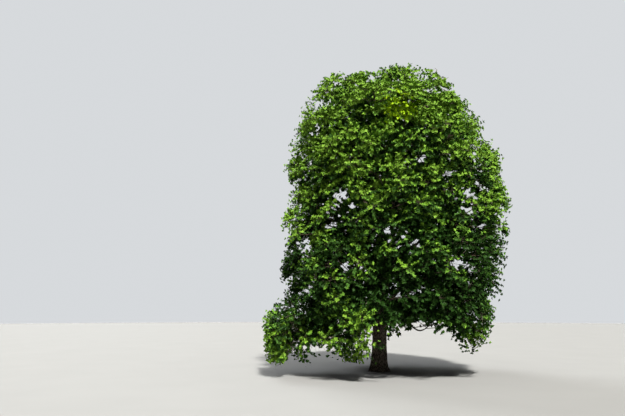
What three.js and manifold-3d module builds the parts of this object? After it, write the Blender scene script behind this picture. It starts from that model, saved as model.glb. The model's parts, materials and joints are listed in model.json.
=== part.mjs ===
// A round-headed hawthorn tree in full leaf: a fluted trunk, its boughs, and a mass of foliage on each.
// Millimetres, +Z up. The origin is the middle of the flat cut under the trunk, at ground level.
// The view that shows the tree looks along +Y, so its left is -X and its right is +X.
import * as THREE from "three";
import { mergeVertices } from "three/addons/utils/BufferGeometryUtils.js";
import Module from "manifold-3d";

const wasm = await Module();
wasm.setup();

// Driving dimensions of the trunk
const TRUNK_HEIGHT = 2600;
const TRUNK_RADIUS = 205;
const TRUNK_TOP_RADIUS = 104;
const TRUNK_TAPER_FROM = 1500;
const TRUNK_LEAN = 150;
const LEAN_POWER = 1.6;
const TRUNK_DRAW = 0.04;
const FLARE_HEIGHT = 210;
const FLARE_SHARE = 0.42;
const FLUTES = 5;
const FLUTE_SHARE = 0.07;
const FLUTE_TWIST = 1.5;
const FLARE_FLUTE = 0.35;
const TRUNK_SIDES = 20;
const TRUNK_RINGS = 12;

// Driving dimensions of the crown
const CROWN_TOP = 9080;
const CROWN_MIDDLE = 4900;
const CROWN_FOOT = 330;
const CROWN_REACH = 3380;
const CROWN_SHIFT = 580;
const CROWN_SHIFT_HEIGHT = 4500;
const CROWN_RETURN = 350;
const DOME_POWER = 2.7;
const FOOT_POWER = 5;
// How steeply a mass faces upwards: in proportion to its rise above the crown's middle, and never less
const FACE_UP = { share: 1.3, least: 0.25 };

// The clearance that a limb or a stem keeps to what carries it, and a leaf to what it passes
const SEAT_GAP = 0.3;
const LEAF_GAP = 6;

// Each tier of masses: the height of their middles, their distance from the crown's axis, how many go
// round, the bearing of the first, and the half width and half height of one.
const TIERS = {
  top: { height: 8300, away: 0, count: 1, bearing: 0, wide: 1700, tall: 1050 },
  shoulder: { height: 7500, away: 1980, count: 5, bearing: 12, wide: 1550, tall: 1250 },
  upper: { height: 5900, away: 2250, count: 6, bearing: 50, wide: 1500, tall: 1150 },
  middle: { height: 4420, away: 2280, count: 6, bearing: 20, wide: 1500, tall: 1120 },
  lower: { height: 3000, away: 2250, count: 6, bearing: 48, wide: 1450, tall: 1080 },
  skirt: { height: 1560, away: 2150, count: 5, bearing: 30, wide: 1400, tall: 1020 },
};
// How far a mass may stray from its even place: in height, in distance, and in bearing
const STRAY = { height: 260, away: 120, bearing: 8 };

// The long low mass at the left, that sweeps out nearly to the ground
const SWEEP = { tier: "skirt", number: 3, height: 1150, away: 2620, bearing: 194, wide: 1400, tall: 850 };

// Each tier's boughs: what they spring from and where along it, how steeply they leave and arrive, and
// their radii where they leave and where they end. The top one, the leader, carries on as the trunk goes.
const BOUGHS = {
  top: { from: "trunk", low: 1, high: 1, arrive: 84, root: TRUNK_TOP_RADIUS, tip: 32 },
  shoulder: { from: "top", low: 0.3, high: 0.58, leave: 42, arrive: 58, root: 50, tip: 26 },
  upper: { from: "trunk", low: 0.68, high: 0.8, leave: 58, arrive: 34, root: 76, tip: 28 },
  middle: { from: "upper", low: 0.3, high: 0.46, leave: 18, arrive: 14, root: 44, tip: 26 },
  lower: { from: "trunk", low: 0.5, high: 0.66, leave: 30, arrive: -2, root: 56, tip: 26 },
  skirt: { from: "lower", low: 0.3, high: 0.4, leave: -24, arrive: -14, root: 36, tip: 24 },
};
// The turn, in degrees, that a parent may stand further off before one that carries a bough more is used
const CARRY_TURN = 80;
const BOUGH_RING_STEP = 740;
const BOUGH_LEAST_RINGS = 4;
const BOUGH_SIDES = { stout: 6, slender: 5 };
const STOUT_RADIUS = 70;
const BOUGH_EASE = { leave: 0.42, arrive: 0.36 };
const BOUGH_CROOK = 0.026;
const CROOK_WAVES = { x: 9, y: 11 };
const TAPER_POWER = 0.85;
const COLLAR_SHARE = 0.35;
const COLLAR_LENGTH = 0.06;
// Where a bough ends in its mass, as shares of the mass's half width and half height from its middle
const TIP_INSET = { side: { out: 0.5, down: 0.2 }, leader: { out: 0, down: 0.55 } };

// The twigs and leaves of one mass. A leaf stands for a spray, and the leaves at a twig's end fan out
// round it, turned to face out of the crown.
const STEM_RADIUS = 32;
const STEM_SIDES = 4;
const STEM_RINGS = 2;
const STEM_BEND = 0.4;
const HUB_SHARE = 0.15;
const TWIGS = 6;
const TWIG_SHARE = 0.66;
const TWIG_RADIUS = 18;
const TWIG_TIP_RADIUS = 16;
const TWIG_TRIES = 6;
const TWIG_SHRINK = 0.06;
const TWIG_OUTWARD = 0.45;
const TWIG_STRAY = 0.4;
const TWIG_ROOTS = { low: 0.45, high: 0.95 };
const FAN_LEAVES = 3;
const FAN_TILT = 0.4;
const FAN_SEAT = 24;
const FAN_STRAY = 0.16;
const LEAF_LENGTH = 840;
const LEAF_WIDTH = 640;
const LEAF_THICKNESS = 16;
const LEAF_ROOT = 7;
const LEAF_WIDEST = 0.44;
const LEAF_DROOP = 0.1;
const LEAF_TRIES = 6;
const LEAF_SHRINK = 0.06;
const CELL_GAP = 8;

// Places where the sky shows through the crown, seen from the eye: each is an oval on the trunk's plane
const EYE = new THREE.Vector3(-1910, -15000, 1600);
const WINDOWS = [
  { x: -1060, z: 5190, wide: 200, tall: 180 },
  { x: 2900, z: 5150, wide: 190, tall: 120 },
  { x: 2800, z: 4720, wide: 180, tall: 110 },
  { x: 2420, z: 3060, wide: 200, tall: 120 },
  { x: 1150, z: 3700, wide: 140, tall: 90 },
  { x: -1330, z: 4230, wide: 200, tall: 120 },
  { x: -960, z: 2980, wide: 180, tall: 90 },
  { x: 2330, z: 5870, wide: 110, tall: 100 },
  { x: 1500, z: 6360, wide: 120, tall: 100 },
];

// Each mass has a run of seeds of its own, and each of its twigs and leaves a shorter run within that
const SEED = 2107;
const SEED_STEP = { mass: 10000, twig: 1000, leaf: 100 };
const CROOK_SEED = 7;
const BARK = new THREE.MeshStandardMaterial({ color: 0x4f4639, roughness: 0.9, metalness: 0 });
const LEAVES = new THREE.MeshStandardMaterial({ color: 0x4f8a1e, roughness: 0.6, metalness: 0 });
const UP = new THREE.Vector3(0, 0, 1);
const FULL_TURN = 2 * Math.PI;
const GOLDEN_SHARE = (Math.sqrt(5) - 1) / 2;
const GOLDEN_ANGLE = FULL_TURN * (1 - GOLDEN_SHARE);
// Corners this close are one, and twigs lose the edges that stand out less than this
const MERGE_WITHIN = 1e-3;
const PLAIN_WITHIN = 0.1;

// A repeatable stream of numbers from 0 to 1
function stream(seed) {
  let state = seed | 0;
  return () => {
    state = (state + 0x6d2b79f5) | 0;
    let mixed = Math.imul(state ^ (state >>> 15), 1 | state);
    mixed = (mixed + Math.imul(mixed ^ (mixed >>> 7), 61 | mixed)) ^ mixed;
    return ((mixed ^ (mixed >>> 14)) >>> 0) / 4294967296;
  };
}

// A repeatable number from -1 to 1
function sway(random) {
  return random() * 2 - 1;
}

// A level bearing and a slope above it, both in degrees, as a direction
function heading(bearing, slope) {
  const b = THREE.MathUtils.degToRad(bearing);
  const s = THREE.MathUtils.degToRad(slope);
  return new THREE.Vector3(Math.cos(b) * Math.cos(s), Math.sin(b) * Math.cos(s), Math.sin(s));
}

// A solid from a closed geometry whose shared vertices may be apart
function solidOf(geometry) {
  const bare = new THREE.BufferGeometry()
    .setAttribute("position", geometry.getAttribute("position"))
    .setIndex(geometry.index);
  const merged = mergeVertices(bare, MERGE_WITHIN);
  return new wasm.Manifold(
    new wasm.Mesh({
      numProp: 3,
      vertProperties: Float32Array.from(merged.attributes.position.array),
      triVerts: Uint32Array.from(merged.index.array),
    }),
  );
}

// The geometry of a solid
function geometryOf(solid) {
  const { vertProperties, triVerts } = solid.getMesh();
  const geometry = new THREE.BufferGeometry()
    .setAttribute("position", new THREE.BufferAttribute(vertProperties, 3))
    .setIndex(new THREE.BufferAttribute(triVerts, 1));
  geometry.computeVertexNormals();
  return geometry;
}

// A tube along a line, whose radius comes from a function of the share along it and the angle round it
function tube(line, sides, rings, radiusAt) {
  const geometry = new THREE.CylinderGeometry(1, 1, 1, sides, rings);
  const frames = line.computeFrenetFrames(rings, false);
  const position = geometry.getAttribute("position");
  const corner = new THREE.Vector3();
  for (let i = 0; i < position.count; i++) {
    corner.fromBufferAttribute(position, i);
    const ring = Math.round((0.5 + corner.y) * rings);
    const share = ring / rings;
    const level = Math.hypot(corner.x, corner.z);
    const round = Math.atan2(corner.z, corner.x);
    const radius = level < MERGE_WITHIN ? 0 : radiusAt(share, round);
    corner
      .copy(line.getPointAt(share))
      .addScaledVector(frames.normals[ring], Math.cos(round) * radius)
      .addScaledVector(frames.binormals[ring], -Math.sin(round) * radius);
    position.setXYZ(i, corner.x, corner.y, corner.z);
  }
  return solidOf(geometry);
}

// The trunk's line: it rises from the origin and leans to the right as it goes
class TrunkLine extends THREE.Curve {
  getPoint(share, point = new THREE.Vector3()) {
    return point.set(TRUNK_LEAN * share ** LEAN_POWER, 0, TRUNK_HEIGHT * share);
  }
}

// A limb's line: it leaves one way, arrives another, and is a little crooked between
class LimbLine extends THREE.Curve {
  constructor(start, leave, end, arrive, random) {
    super();
    const length = start.distanceTo(end);
    this.bend = new THREE.CubicBezierCurve3(
      start,
      start.clone().addScaledVector(leave, length * BOUGH_EASE.leave),
      end.clone().addScaledVector(arrive, -length * BOUGH_EASE.arrive),
      end,
    );
    this.crook = length * BOUGH_CROOK;
    this.phase = [random() * FULL_TURN, random() * FULL_TURN];
  }

  getPoint(share, point = new THREE.Vector3()) {
    this.bend.getPoint(share, point);
    const swing = this.crook * Math.sin(Math.PI * share) ** 2;
    point.x += swing * Math.sin(CROOK_WAVES.x * share + this.phase[0]);
    point.y += swing * Math.sin(CROOK_WAVES.y * share + this.phase[1]);
    return point;
  }
}

// The trunk's radius: fluted, tapering towards the fork, and flared to the roots
function trunkRadius(share, round, grown) {
  const height = share * TRUNK_HEIGHT;
  const taper = THREE.MathUtils.smoothstep(height, TRUNK_TAPER_FROM, TRUNK_HEIGHT);
  const straight = TRUNK_RADIUS * (1 - TRUNK_DRAW * share);
  const plain = THREE.MathUtils.lerp(straight, TRUNK_TOP_RADIUS, taper);
  const flare = FLARE_SHARE * Math.exp(-height / FLARE_HEIGHT);
  const flutes = Math.cos(FLUTES * round + FLUTE_TWIST * share);
  const fluting = FLUTE_SHARE * (1 - taper) + FLARE_FLUTE * flare;
  return plain * (1 + flare + fluting * flutes) + grown;
}

// A bough's radius: it tapers to its tip and swells by its collar where it leaves its parent
function boughRadius(share, rule, collar) {
  const swell = 1 + collar * Math.exp(-share / COLLAR_LENGTH);
  return THREE.MathUtils.lerp(rule.root, rule.tip, share ** TAPER_POWER) * swell;
}

// Half the crown's width at a height
function crownReach(height) {
  const above = height > CROWN_MIDDLE;
  const span = above ? CROWN_TOP - CROWN_MIDDLE : CROWN_MIDDLE - CROWN_FOOT;
  const power = above ? DOME_POWER : FOOT_POWER;
  const rise = Math.min(1, Math.abs(height - CROWN_MIDDLE) / span);
  return CROWN_REACH * (1 - rise ** power) ** (1 / power);
}

// How far right the crown's axis stands at a height: it drifts right, and comes back a little in the dome
function crownAxis(height) {
  const rise = Math.max(0, (height - CROWN_MIDDLE) / (CROWN_TOP - CROWN_MIDDLE));
  return CROWN_SHIFT * Math.min(1, height / CROWN_SHIFT_HEIGHT) - CROWN_RETURN * rise ** 2;
}

// Where each mass stands: its name, its middle, its bearing and its half sizes
function placeMasses() {
  const masses = [];
  for (const [tier, t] of Object.entries(TIERS)) {
    for (let i = 0; i < t.count; i++) {
      const seed = SEED + SEED_STEP.mass * masses.length;
      const random = stream(seed);
      const stray = [sway(random), sway(random), sway(random)];
      const lone = t.count === 1;
      const sweep = SWEEP.tier === tier && SWEEP.number === i + 1;
      const own = sweep ? SWEEP : t;
      const still = lone || sweep ? 0 : 1;
      const height = own.height + still * stray[0] * STRAY.height;
      const away = own.away + still * stray[1] * STRAY.away;
      const even = sweep ? SWEEP.bearing : t.bearing + (360 * i) / t.count;
      const bearing = even + still * stray[2] * STRAY.bearing;
      const middle = heading(bearing, 0).multiplyScalar(away);
      middle.x += crownAxis(height);
      middle.z = height;
      masses.push({
        tier,
        name: lone ? tier : `${tier}_${i + 1}`,
        middle,
        bearing,
        wide: own.wide,
        tall: own.tall,
        sweeps: sweep,
        seed,
      });
    }
  }
  return masses;
}

// The limb of a tier whose bearing is nearest, less those that already carry more boughs
function nearestLimb(limbs, tier, bearing) {
  const turn = (limb) => Math.abs(((limb.bearing - bearing + 540) % 360) - 180);
  const found = limbs.filter((limb) => limb.tier === tier);
  found.sort((a, b) => turn(a) + CARRY_TURN * a.carries - turn(b) - CARRY_TURN * b.carries);
  return found[0];
}

// Every bough, from the trunk outwards. The first is the leader, that carries on from the trunk's end.
function growBoughs(masses, trunk) {
  const limbs = [];
  for (const mass of masses) {
    const rule = BOUGHS[mass.tier];
    const leader = rule.low === 1;
    const random = stream(mass.seed + CROOK_SEED);
    const parent = rule.from === "trunk" ? trunk : nearestLimb(limbs, rule.from, mass.bearing);
    const along = THREE.MathUtils.lerp(rule.low, rule.high, (limbs.length * GOLDEN_SHARE) % 1);
    const start = parent.line.getPointAt(along);
    const leave = leader ? parent.line.getTangentAt(1) : heading(mass.bearing, rule.leave);
    if (leader) start.addScaledVector(leave, SEAT_GAP);
    const inset = leader ? TIP_INSET.leader : TIP_INSET.side;
    const end = mass.middle
      .clone()
      .addScaledVector(heading(mass.bearing, 0), -inset.out * mass.wide)
      .addScaledVector(UP, -inset.down * mass.tall);
    const line = new LimbLine(start, leave, end, heading(mass.bearing, rule.arrive), random);
    const rings = Math.max(BOUGH_LEAST_RINGS, Math.round(line.getLength() / BOUGH_RING_STEP));
    const sides = rule.root > STOUT_RADIUS ? BOUGH_SIDES.stout : BOUGH_SIDES.slender;
    const shape = (grown) =>
      tube(line, sides, rings, (share) => boughRadius(share, rule, leader ? 0 : COLLAR_SHARE) + grown);
    let solid = shape(0);
    for (const other of leader ? [] : [trunk, ...limbs]) {
      if (solid.minGap(other.solid, SEAT_GAP) >= SEAT_GAP) continue;
      solid = largest(solid.subtract(other.shape(SEAT_GAP)));
    }
    parent.carries++;
    limbs.push({ ...mass, line, shape, solid, tip: rule.tip, carries: 0 });
  }
  return limbs;
}

// The largest of a solid's separate bodies
function largest(solid) {
  const bodies = solid.decompose();
  bodies.sort((a, b) => b.volume() - a.volume());
  return bodies[0];
}

// A three-sided tapering twig from one point to another, with a flat of it turned one way
function twigSolid(from, to, face) {
  const along = to.clone().sub(from);
  const geometry = new THREE.CylinderGeometry(TWIG_TIP_RADIUS, TWIG_RADIUS, along.length(), 3, 1);
  const across = new THREE.Vector3().crossVectors(face, along).normalize();
  const square = new THREE.Vector3().crossVectors(along, across).normalize();
  geometry.applyMatrix4(
    new THREE.Matrix4()
      .makeBasis(across, along.normalize(), square.negate())
      .setPosition(from.clone().lerp(to, 0.5)),
  );
  return solidOf(geometry).simplify(PLAIN_WITHIN);
}

// A leaf of eight faces: it lies along one direction with its blade square to another
function leafSolid(root, along, face, size) {
  const geometry = new THREE.OctahedronGeometry(1);
  const across = new THREE.Vector3().crossVectors(face, along).normalize();
  const square = new THREE.Vector3().crossVectors(along, across).normalize();
  const position = geometry.getAttribute("position");
  const corner = new THREE.Vector3();
  for (let i = 0; i < position.count; i++) {
    corner.fromBufferAttribute(position, i);
    const end = Math.abs(corner.x) < 0.5 ? LEAF_WIDEST : (1 + corner.x) / 2;
    const droop = corner.x > 0.5 ? LEAF_DROOP * LEAF_LENGTH * size : 0;
    const place = root
      .clone()
      .addScaledVector(along, LEAF_LENGTH * size * end - LEAF_ROOT)
      .addScaledVector(across, (corner.y * LEAF_WIDTH * size) / 2)
      .addScaledVector(square, (corner.z * LEAF_THICKNESS) / 2 - droop);
    position.setXYZ(i, place.x, place.y, place.z);
  }
  return solidOf(geometry);
}

// Points over a solid: its corners and the middles of its edges
function pointsOf(solid) {
  const { vertProperties, triVerts } = solid.getMesh();
  const corner = (i) => new THREE.Vector3().fromArray(vertProperties, 3 * i);
  const points = [];
  for (let i = 0; i < triVerts.length; i += 3) {
    for (let k = 0; k < 3; k++) {
      const a = triVerts[i + k];
      const b = triVerts[i + ((k + 1) % 3)];
      if (a < b) points.push(corner(a), corner(b), corner(a).lerp(corner(b), 0.5));
    }
  }
  return points;
}

// Whether the sky shows through the crown at a point
function inWindow(point) {
  const near = -EYE.y / (point.y - EYE.y);
  const x = EYE.x + (point.x - EYE.x) * near;
  const z = EYE.z + (point.z - EYE.z) * near;
  return WINDOWS.some((w) => Math.hypot((x - w.x) / w.wide, (z - w.z) / w.tall) < 1);
}

// Whether a point lies in a mass's own space: its lump, its share of the crown, and the crown's outline
function inSpace(point, mass, masses) {
  const level = Math.hypot(point.x - mass.middle.x, point.y - mass.middle.y) / mass.wide;
  if (Math.hypot(level, (point.z - mass.middle.z) / mass.tall) > 1) return false;
  if (point.z < CROWN_FOOT || point.z > CROWN_TOP) return false;
  const out = Math.hypot(point.x - crownAxis(point.z), point.y);
  if (!mass.sweeps && out > crownReach(point.z)) return false;
  const own = point.distanceTo(mass.middle);
  for (const other of masses) {
    if (other === mass) continue;
    const span = other.middle.distanceTo(mass.middle);
    const past = (point.distanceTo(other.middle) ** 2 - own ** 2) / (2 * span);
    if (past < CELL_GAP) return false;
  }
  return true;
}

// The way out of the crown at a point: nearly level round its sides, and turning upwards to its top
function outOfCrown(point) {
  const rise = (point.z - CROWN_MIDDLE) / (CROWN_TOP - CROWN_MIDDLE);
  const level = new THREE.Vector3(point.x - crownAxis(point.z), point.y, 0).divideScalar(CROWN_REACH);
  return level.addScaledVector(UP, Math.max(FACE_UP.least, FACE_UP.share * rise)).normalize();
}

// One twig of a mass: where it leaves the stem and where it ends, nearer at each try
function layTwig(mass, stemLine, number, tries, random) {
  const rise = 1 - (2 * (number + 0.5)) / TWIGS;
  const round = (number + mass.seed) * GOLDEN_ANGLE + TWIG_STRAY * sway(random);
  const level = Math.sqrt(1 - rise * rise);
  const way = new THREE.Vector3(level * Math.cos(round), level * Math.sin(round), rise);
  way.addScaledVector(outOfCrown(mass.middle), TWIG_OUTWARD).normalize();
  const rooted = THREE.MathUtils.lerp(TWIG_ROOTS.high, TWIG_ROOTS.low, (number + 0.5) / TWIGS);
  const root = stemLine.getPoint(rooted);
  const span = new THREE.Vector3(way.x * mass.wide, way.y * mass.wide, way.z * mass.tall);
  const end = mass.middle.clone().addScaledVector(span, TWIG_SHARE);
  end.lerp(root, TWIG_SHRINK * tries);
  const seat = end.clone().addScaledVector(end.clone().sub(root).normalize(), -FAN_SEAT);
  return { number, root, end, seat, face: outOfCrown(end), turn: random() * FULL_TURN };
}

// The way one leaf of a fan points, and the way its blade faces, a little different at each try
function aimLeaf(twig, number, random) {
  const face = new THREE.Vector3(sway(random), sway(random), sway(random)).multiplyScalar(FAN_TILT);
  face.add(twig.face).normalize();
  const level = new THREE.Vector3().crossVectors(UP, face).normalize();
  const upward = new THREE.Vector3().crossVectors(face, level);
  const turn = twig.turn + (number * FULL_TURN) / FAN_LEAVES + FAN_STRAY * sway(random);
  const along = level.multiplyScalar(Math.cos(turn)).addScaledVector(upward, Math.sin(turn));
  return { along, face };
}

// One mass of foliage: a stem from its bough's tip, twigs that spread from it, and leaves on them
function growMass(limb, mass, masses, limbsSolid) {
  const tipPoint = limb.line.getPointAt(1);
  const arrive = limb.line.getTangentAt(1);
  const foot = tipPoint.clone().addScaledVector(arrive, SEAT_GAP);
  const hub = mass.middle.clone().lerp(tipPoint, HUB_SHARE);
  const bend = foot.clone().addScaledVector(arrive, STEM_BEND * foot.distanceTo(hub));
  const stemLine = new THREE.QuadraticBezierCurve3(foot, bend, hub);
  const stemRadius = (share) => THREE.MathUtils.lerp(limb.tip, STEM_RADIUS, share);
  const stem = tube(stemLine, STEM_SIDES, STEM_RINGS, stemRadius);
  const clear = (solid) =>
    pointsOf(solid).every((p) => inSpace(p, mass, masses)) &&
    solid.minGap(limbsSolid, LEAF_GAP) >= LEAF_GAP;
  const twigs = [];
  for (let i = 0; i < TWIGS; i++) {
    for (let tries = 0; tries < TWIG_TRIES; tries++) {
      const random = stream(mass.seed + SEED_STEP.twig * (i + 1) + tries);
      const twig = layTwig(mass, stemLine, i, tries, random);
      twig.solid = twigSolid(twig.root, twig.end, aimLeaf(twig, 0, random).along);
      if (!clear(twig.solid)) continue;
      twigs.push(twig);
      break;
    }
  }
  const leaves = [];
  for (const twig of twigs) {
    const others = [stem, ...leaves, ...twigs.filter((t) => t !== twig).map((t) => t.solid)];
    for (let i = 0; i < FAN_LEAVES; i++) {
      const seed = mass.seed + SEED_STEP.twig * (twig.number + 1) + SEED_STEP.leaf * (i + 1);
      for (let tries = 0; tries < LEAF_TRIES; tries++) {
        const { along, face } = aimLeaf(twig, i, stream(seed + tries));
        const leaf = leafSolid(twig.seat, along, face, 1 - LEAF_SHRINK * tries);
        if (pointsOf(leaf).some(inWindow) || !clear(leaf)) continue;
        if (others.some((o) => leaf.minGap(o, LEAF_GAP) < LEAF_GAP)) continue;
        leaves.push(leaf);
        break;
      }
    }
  }
  return largest(wasm.Manifold.union([stem, ...twigs.map((t) => t.solid), ...leaves]));
}

// A named mesh of one solid
function part(name, solid, material) {
  const mesh = new THREE.Mesh(geometryOf(solid), material);
  mesh.name = name;
  return mesh;
}

const trunkLine = new TrunkLine();
const trunkShape = (grown) =>
  tube(trunkLine, TRUNK_SIDES, TRUNK_RINGS, (share, round) => trunkRadius(share, round, grown));
const trunk = { line: trunkLine, shape: trunkShape, solid: trunkShape(0), carries: 0 };
const masses = placeMasses();
const limbs = growBoughs(masses, trunk);
const limbsSolid = wasm.Manifold.compose([trunk.solid, ...limbs.map((limb) => limb.solid)]);

const tree = new THREE.Group();
tree.add(part("trunk", trunk.solid, BARK));
limbs.forEach((limb, i) => {
  tree.add(part(`bough_${limb.name}`, limb.solid, BARK));
  tree.add(part(`foliage_${limb.name}`, growMass(limb, masses[i], masses, limbsSolid), LEAVES));
});

export default tree;
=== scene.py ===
"""A round-headed hawthorn in full leaf, dressed limb by limb and spray by spray.

The trunk and boughs get a bark with real relief, and each mass of foliage becomes a stem, twigs,
branchlets, shoots and small lobed leaves. The stems and twigs grow by the same seeded rule, and from
the same sizes, as in the solids that they stand for, and finer wood and leaves carry them on.
Everything is in metres, in the frame of the solids: +Z is up, the origin is the middle of the flat cut
under the trunk, and the front view looks along +Y, with +X to its right.
"""

import json
import logging
import math
from collections.abc import Callable
from dataclasses import dataclass, field
from enum import Enum

import bmesh
import bpy
import numpy as np
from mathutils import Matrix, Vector, noise

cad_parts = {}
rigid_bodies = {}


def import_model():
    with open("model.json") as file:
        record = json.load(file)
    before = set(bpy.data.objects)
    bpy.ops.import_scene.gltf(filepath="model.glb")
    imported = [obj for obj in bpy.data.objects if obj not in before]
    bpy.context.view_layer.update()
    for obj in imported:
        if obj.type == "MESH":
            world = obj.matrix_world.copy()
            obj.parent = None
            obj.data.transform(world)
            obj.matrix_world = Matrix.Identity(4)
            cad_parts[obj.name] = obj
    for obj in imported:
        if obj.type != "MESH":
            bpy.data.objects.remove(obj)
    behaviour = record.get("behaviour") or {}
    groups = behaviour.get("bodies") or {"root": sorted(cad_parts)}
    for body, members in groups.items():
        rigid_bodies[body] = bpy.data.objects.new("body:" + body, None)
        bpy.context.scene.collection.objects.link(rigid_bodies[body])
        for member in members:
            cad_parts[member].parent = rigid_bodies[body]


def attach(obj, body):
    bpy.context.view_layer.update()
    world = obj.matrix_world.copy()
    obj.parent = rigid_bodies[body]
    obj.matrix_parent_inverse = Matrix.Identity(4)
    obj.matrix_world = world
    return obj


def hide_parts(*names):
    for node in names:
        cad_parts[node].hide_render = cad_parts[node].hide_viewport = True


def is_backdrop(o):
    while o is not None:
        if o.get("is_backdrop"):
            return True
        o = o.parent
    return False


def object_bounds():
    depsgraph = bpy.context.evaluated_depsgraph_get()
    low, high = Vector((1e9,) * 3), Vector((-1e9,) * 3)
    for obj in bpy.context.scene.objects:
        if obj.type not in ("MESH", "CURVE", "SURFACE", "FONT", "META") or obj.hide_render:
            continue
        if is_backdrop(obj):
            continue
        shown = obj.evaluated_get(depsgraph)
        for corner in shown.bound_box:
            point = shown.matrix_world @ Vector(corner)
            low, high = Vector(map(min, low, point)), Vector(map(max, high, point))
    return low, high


LOG = logging.getLogger("hawthorn")
BODY = "root"

# The attribute that carries a limb's own coordinates, and where the front view is seen from.
GRAIN = "grain"
EYE = (-1.91, -15.0, 1.6)

UP = Vector((0, 0, 1))
UP_ARRAY = np.array((0.0, 0.0, 1.0))
GOLDEN_SHARE = (math.sqrt(5) - 1) / 2
GOLDEN_ANGLE = math.tau * (1 - GOLDEN_SHARE)
FULL_TURN = 360
HALF_TURN = 180
HALF = 0.5
WELD = 1e-5
TINY = 1e-9

Colour = tuple[float, float, float]
Points = np.ndarray


class Slot(Enum):
    """The material slots of the part."""

    BARK = "bark"
    LEAVES = "leaves"


class Tier(Enum):
    """The tiers of masses, from the top of the crown down. A value stands in its nodes' names."""

    TOP = "top"
    SHOULDER = "shoulder"
    UPPER = "upper"
    MIDDLE = "middle"
    LOWER = "lower"
    SKIRT = "skirt"


@dataclass(frozen=True)
class TierSizes:
    """Where a tier's masses stand, and the half width and half height of one. Bearings are in degrees."""

    height: float
    away: float
    count: int
    bearing: float
    wide: float
    tall: float


@dataclass(frozen=True)
class BoughSizes:
    """A tier's boughs: their parents, where they spring from them, their slopes in degrees and radii."""

    parent: Tier | None
    low: float
    high: float
    leave: float
    arrive: float
    root: float
    tip: float


@dataclass(frozen=True)
class Window:
    """A place where the sky shows through: an oval on the trunk's plane, as the eye sees it.

    A clear one is open in its middle. The others are clusters of small gaps, closer in the middle.
    """

    x: float
    z: float
    wide: float
    tall: float
    clear: float = 0.88

    def off(self, x: Points, z: Points) -> Points:
        """Returns how far off its middle places are. It is 1 on the oval."""
        return np.hypot((x - self.x) / self.wide, (z - self.z) / self.tall)


# The tiers of masses, and the one mass of the skirt that sweeps out low on the left.
TIERS = {
    Tier.TOP: TierSizes(height=8.3, away=0, count=1, bearing=0, wide=1.7, tall=1.05),
    Tier.SHOULDER: TierSizes(height=7.5, away=1.98, count=5, bearing=12, wide=1.55, tall=1.25),
    Tier.UPPER: TierSizes(height=5.9, away=2.25, count=6, bearing=50, wide=1.5, tall=1.15),
    Tier.MIDDLE: TierSizes(height=4.42, away=2.28, count=6, bearing=20, wide=1.5, tall=1.12),
    Tier.LOWER: TierSizes(height=3.0, away=2.25, count=6, bearing=48, wide=1.45, tall=1.08),
    Tier.SKIRT: TierSizes(height=1.56, away=2.15, count=5, bearing=30, wide=1.4, tall=1.02),
}
SWEEP = TierSizes(height=1.15, away=2.62, count=1, bearing=194, wide=1.4, tall=0.85)
SWEEP_NAME = "skirt_3"

# The boughs of each tier. A tier without a parent springs from the trunk.
BOUGHS = {
    Tier.TOP: BoughSizes(None, low=1, high=1, leave=90, arrive=84, root=0.104, tip=0.032),
    Tier.SHOULDER: BoughSizes(Tier.TOP, low=0.3, high=0.58, leave=42, arrive=58, root=0.05, tip=0.026),
    Tier.UPPER: BoughSizes(None, low=0.68, high=0.8, leave=58, arrive=34, root=0.076, tip=0.028),
    Tier.MIDDLE: BoughSizes(Tier.UPPER, low=0.3, high=0.46, leave=18, arrive=14, root=0.044, tip=0.026),
    Tier.LOWER: BoughSizes(None, low=0.5, high=0.66, leave=30, arrive=-2, root=0.056, tip=0.026),
    Tier.SKIRT: BoughSizes(Tier.LOWER, low=0.3, high=0.4, leave=-24, arrive=-14, root=0.036, tip=0.024),
}

# Where side twigs leave a tier's boughs and the sweep's stem, as shares of their length.
SIDE_TWIGS = {
    Tier.TOP: (0.34, 0.44, 0.54, 0.63, 0.72, 0.8, 0.88, 0.95),
    Tier.SHOULDER: (0.45, 0.65, 0.85),
    Tier.UPPER: (0.6, 0.85),
    Tier.MIDDLE: (0.6, 0.88),
    Tier.LOWER: (0.5, 0.68, 0.86),
    Tier.SKIRT: (0.4, 0.62, 0.84),
}
SWEEP_TWIGS = (0.25, 0.5, 0.75, 1.0)

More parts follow.
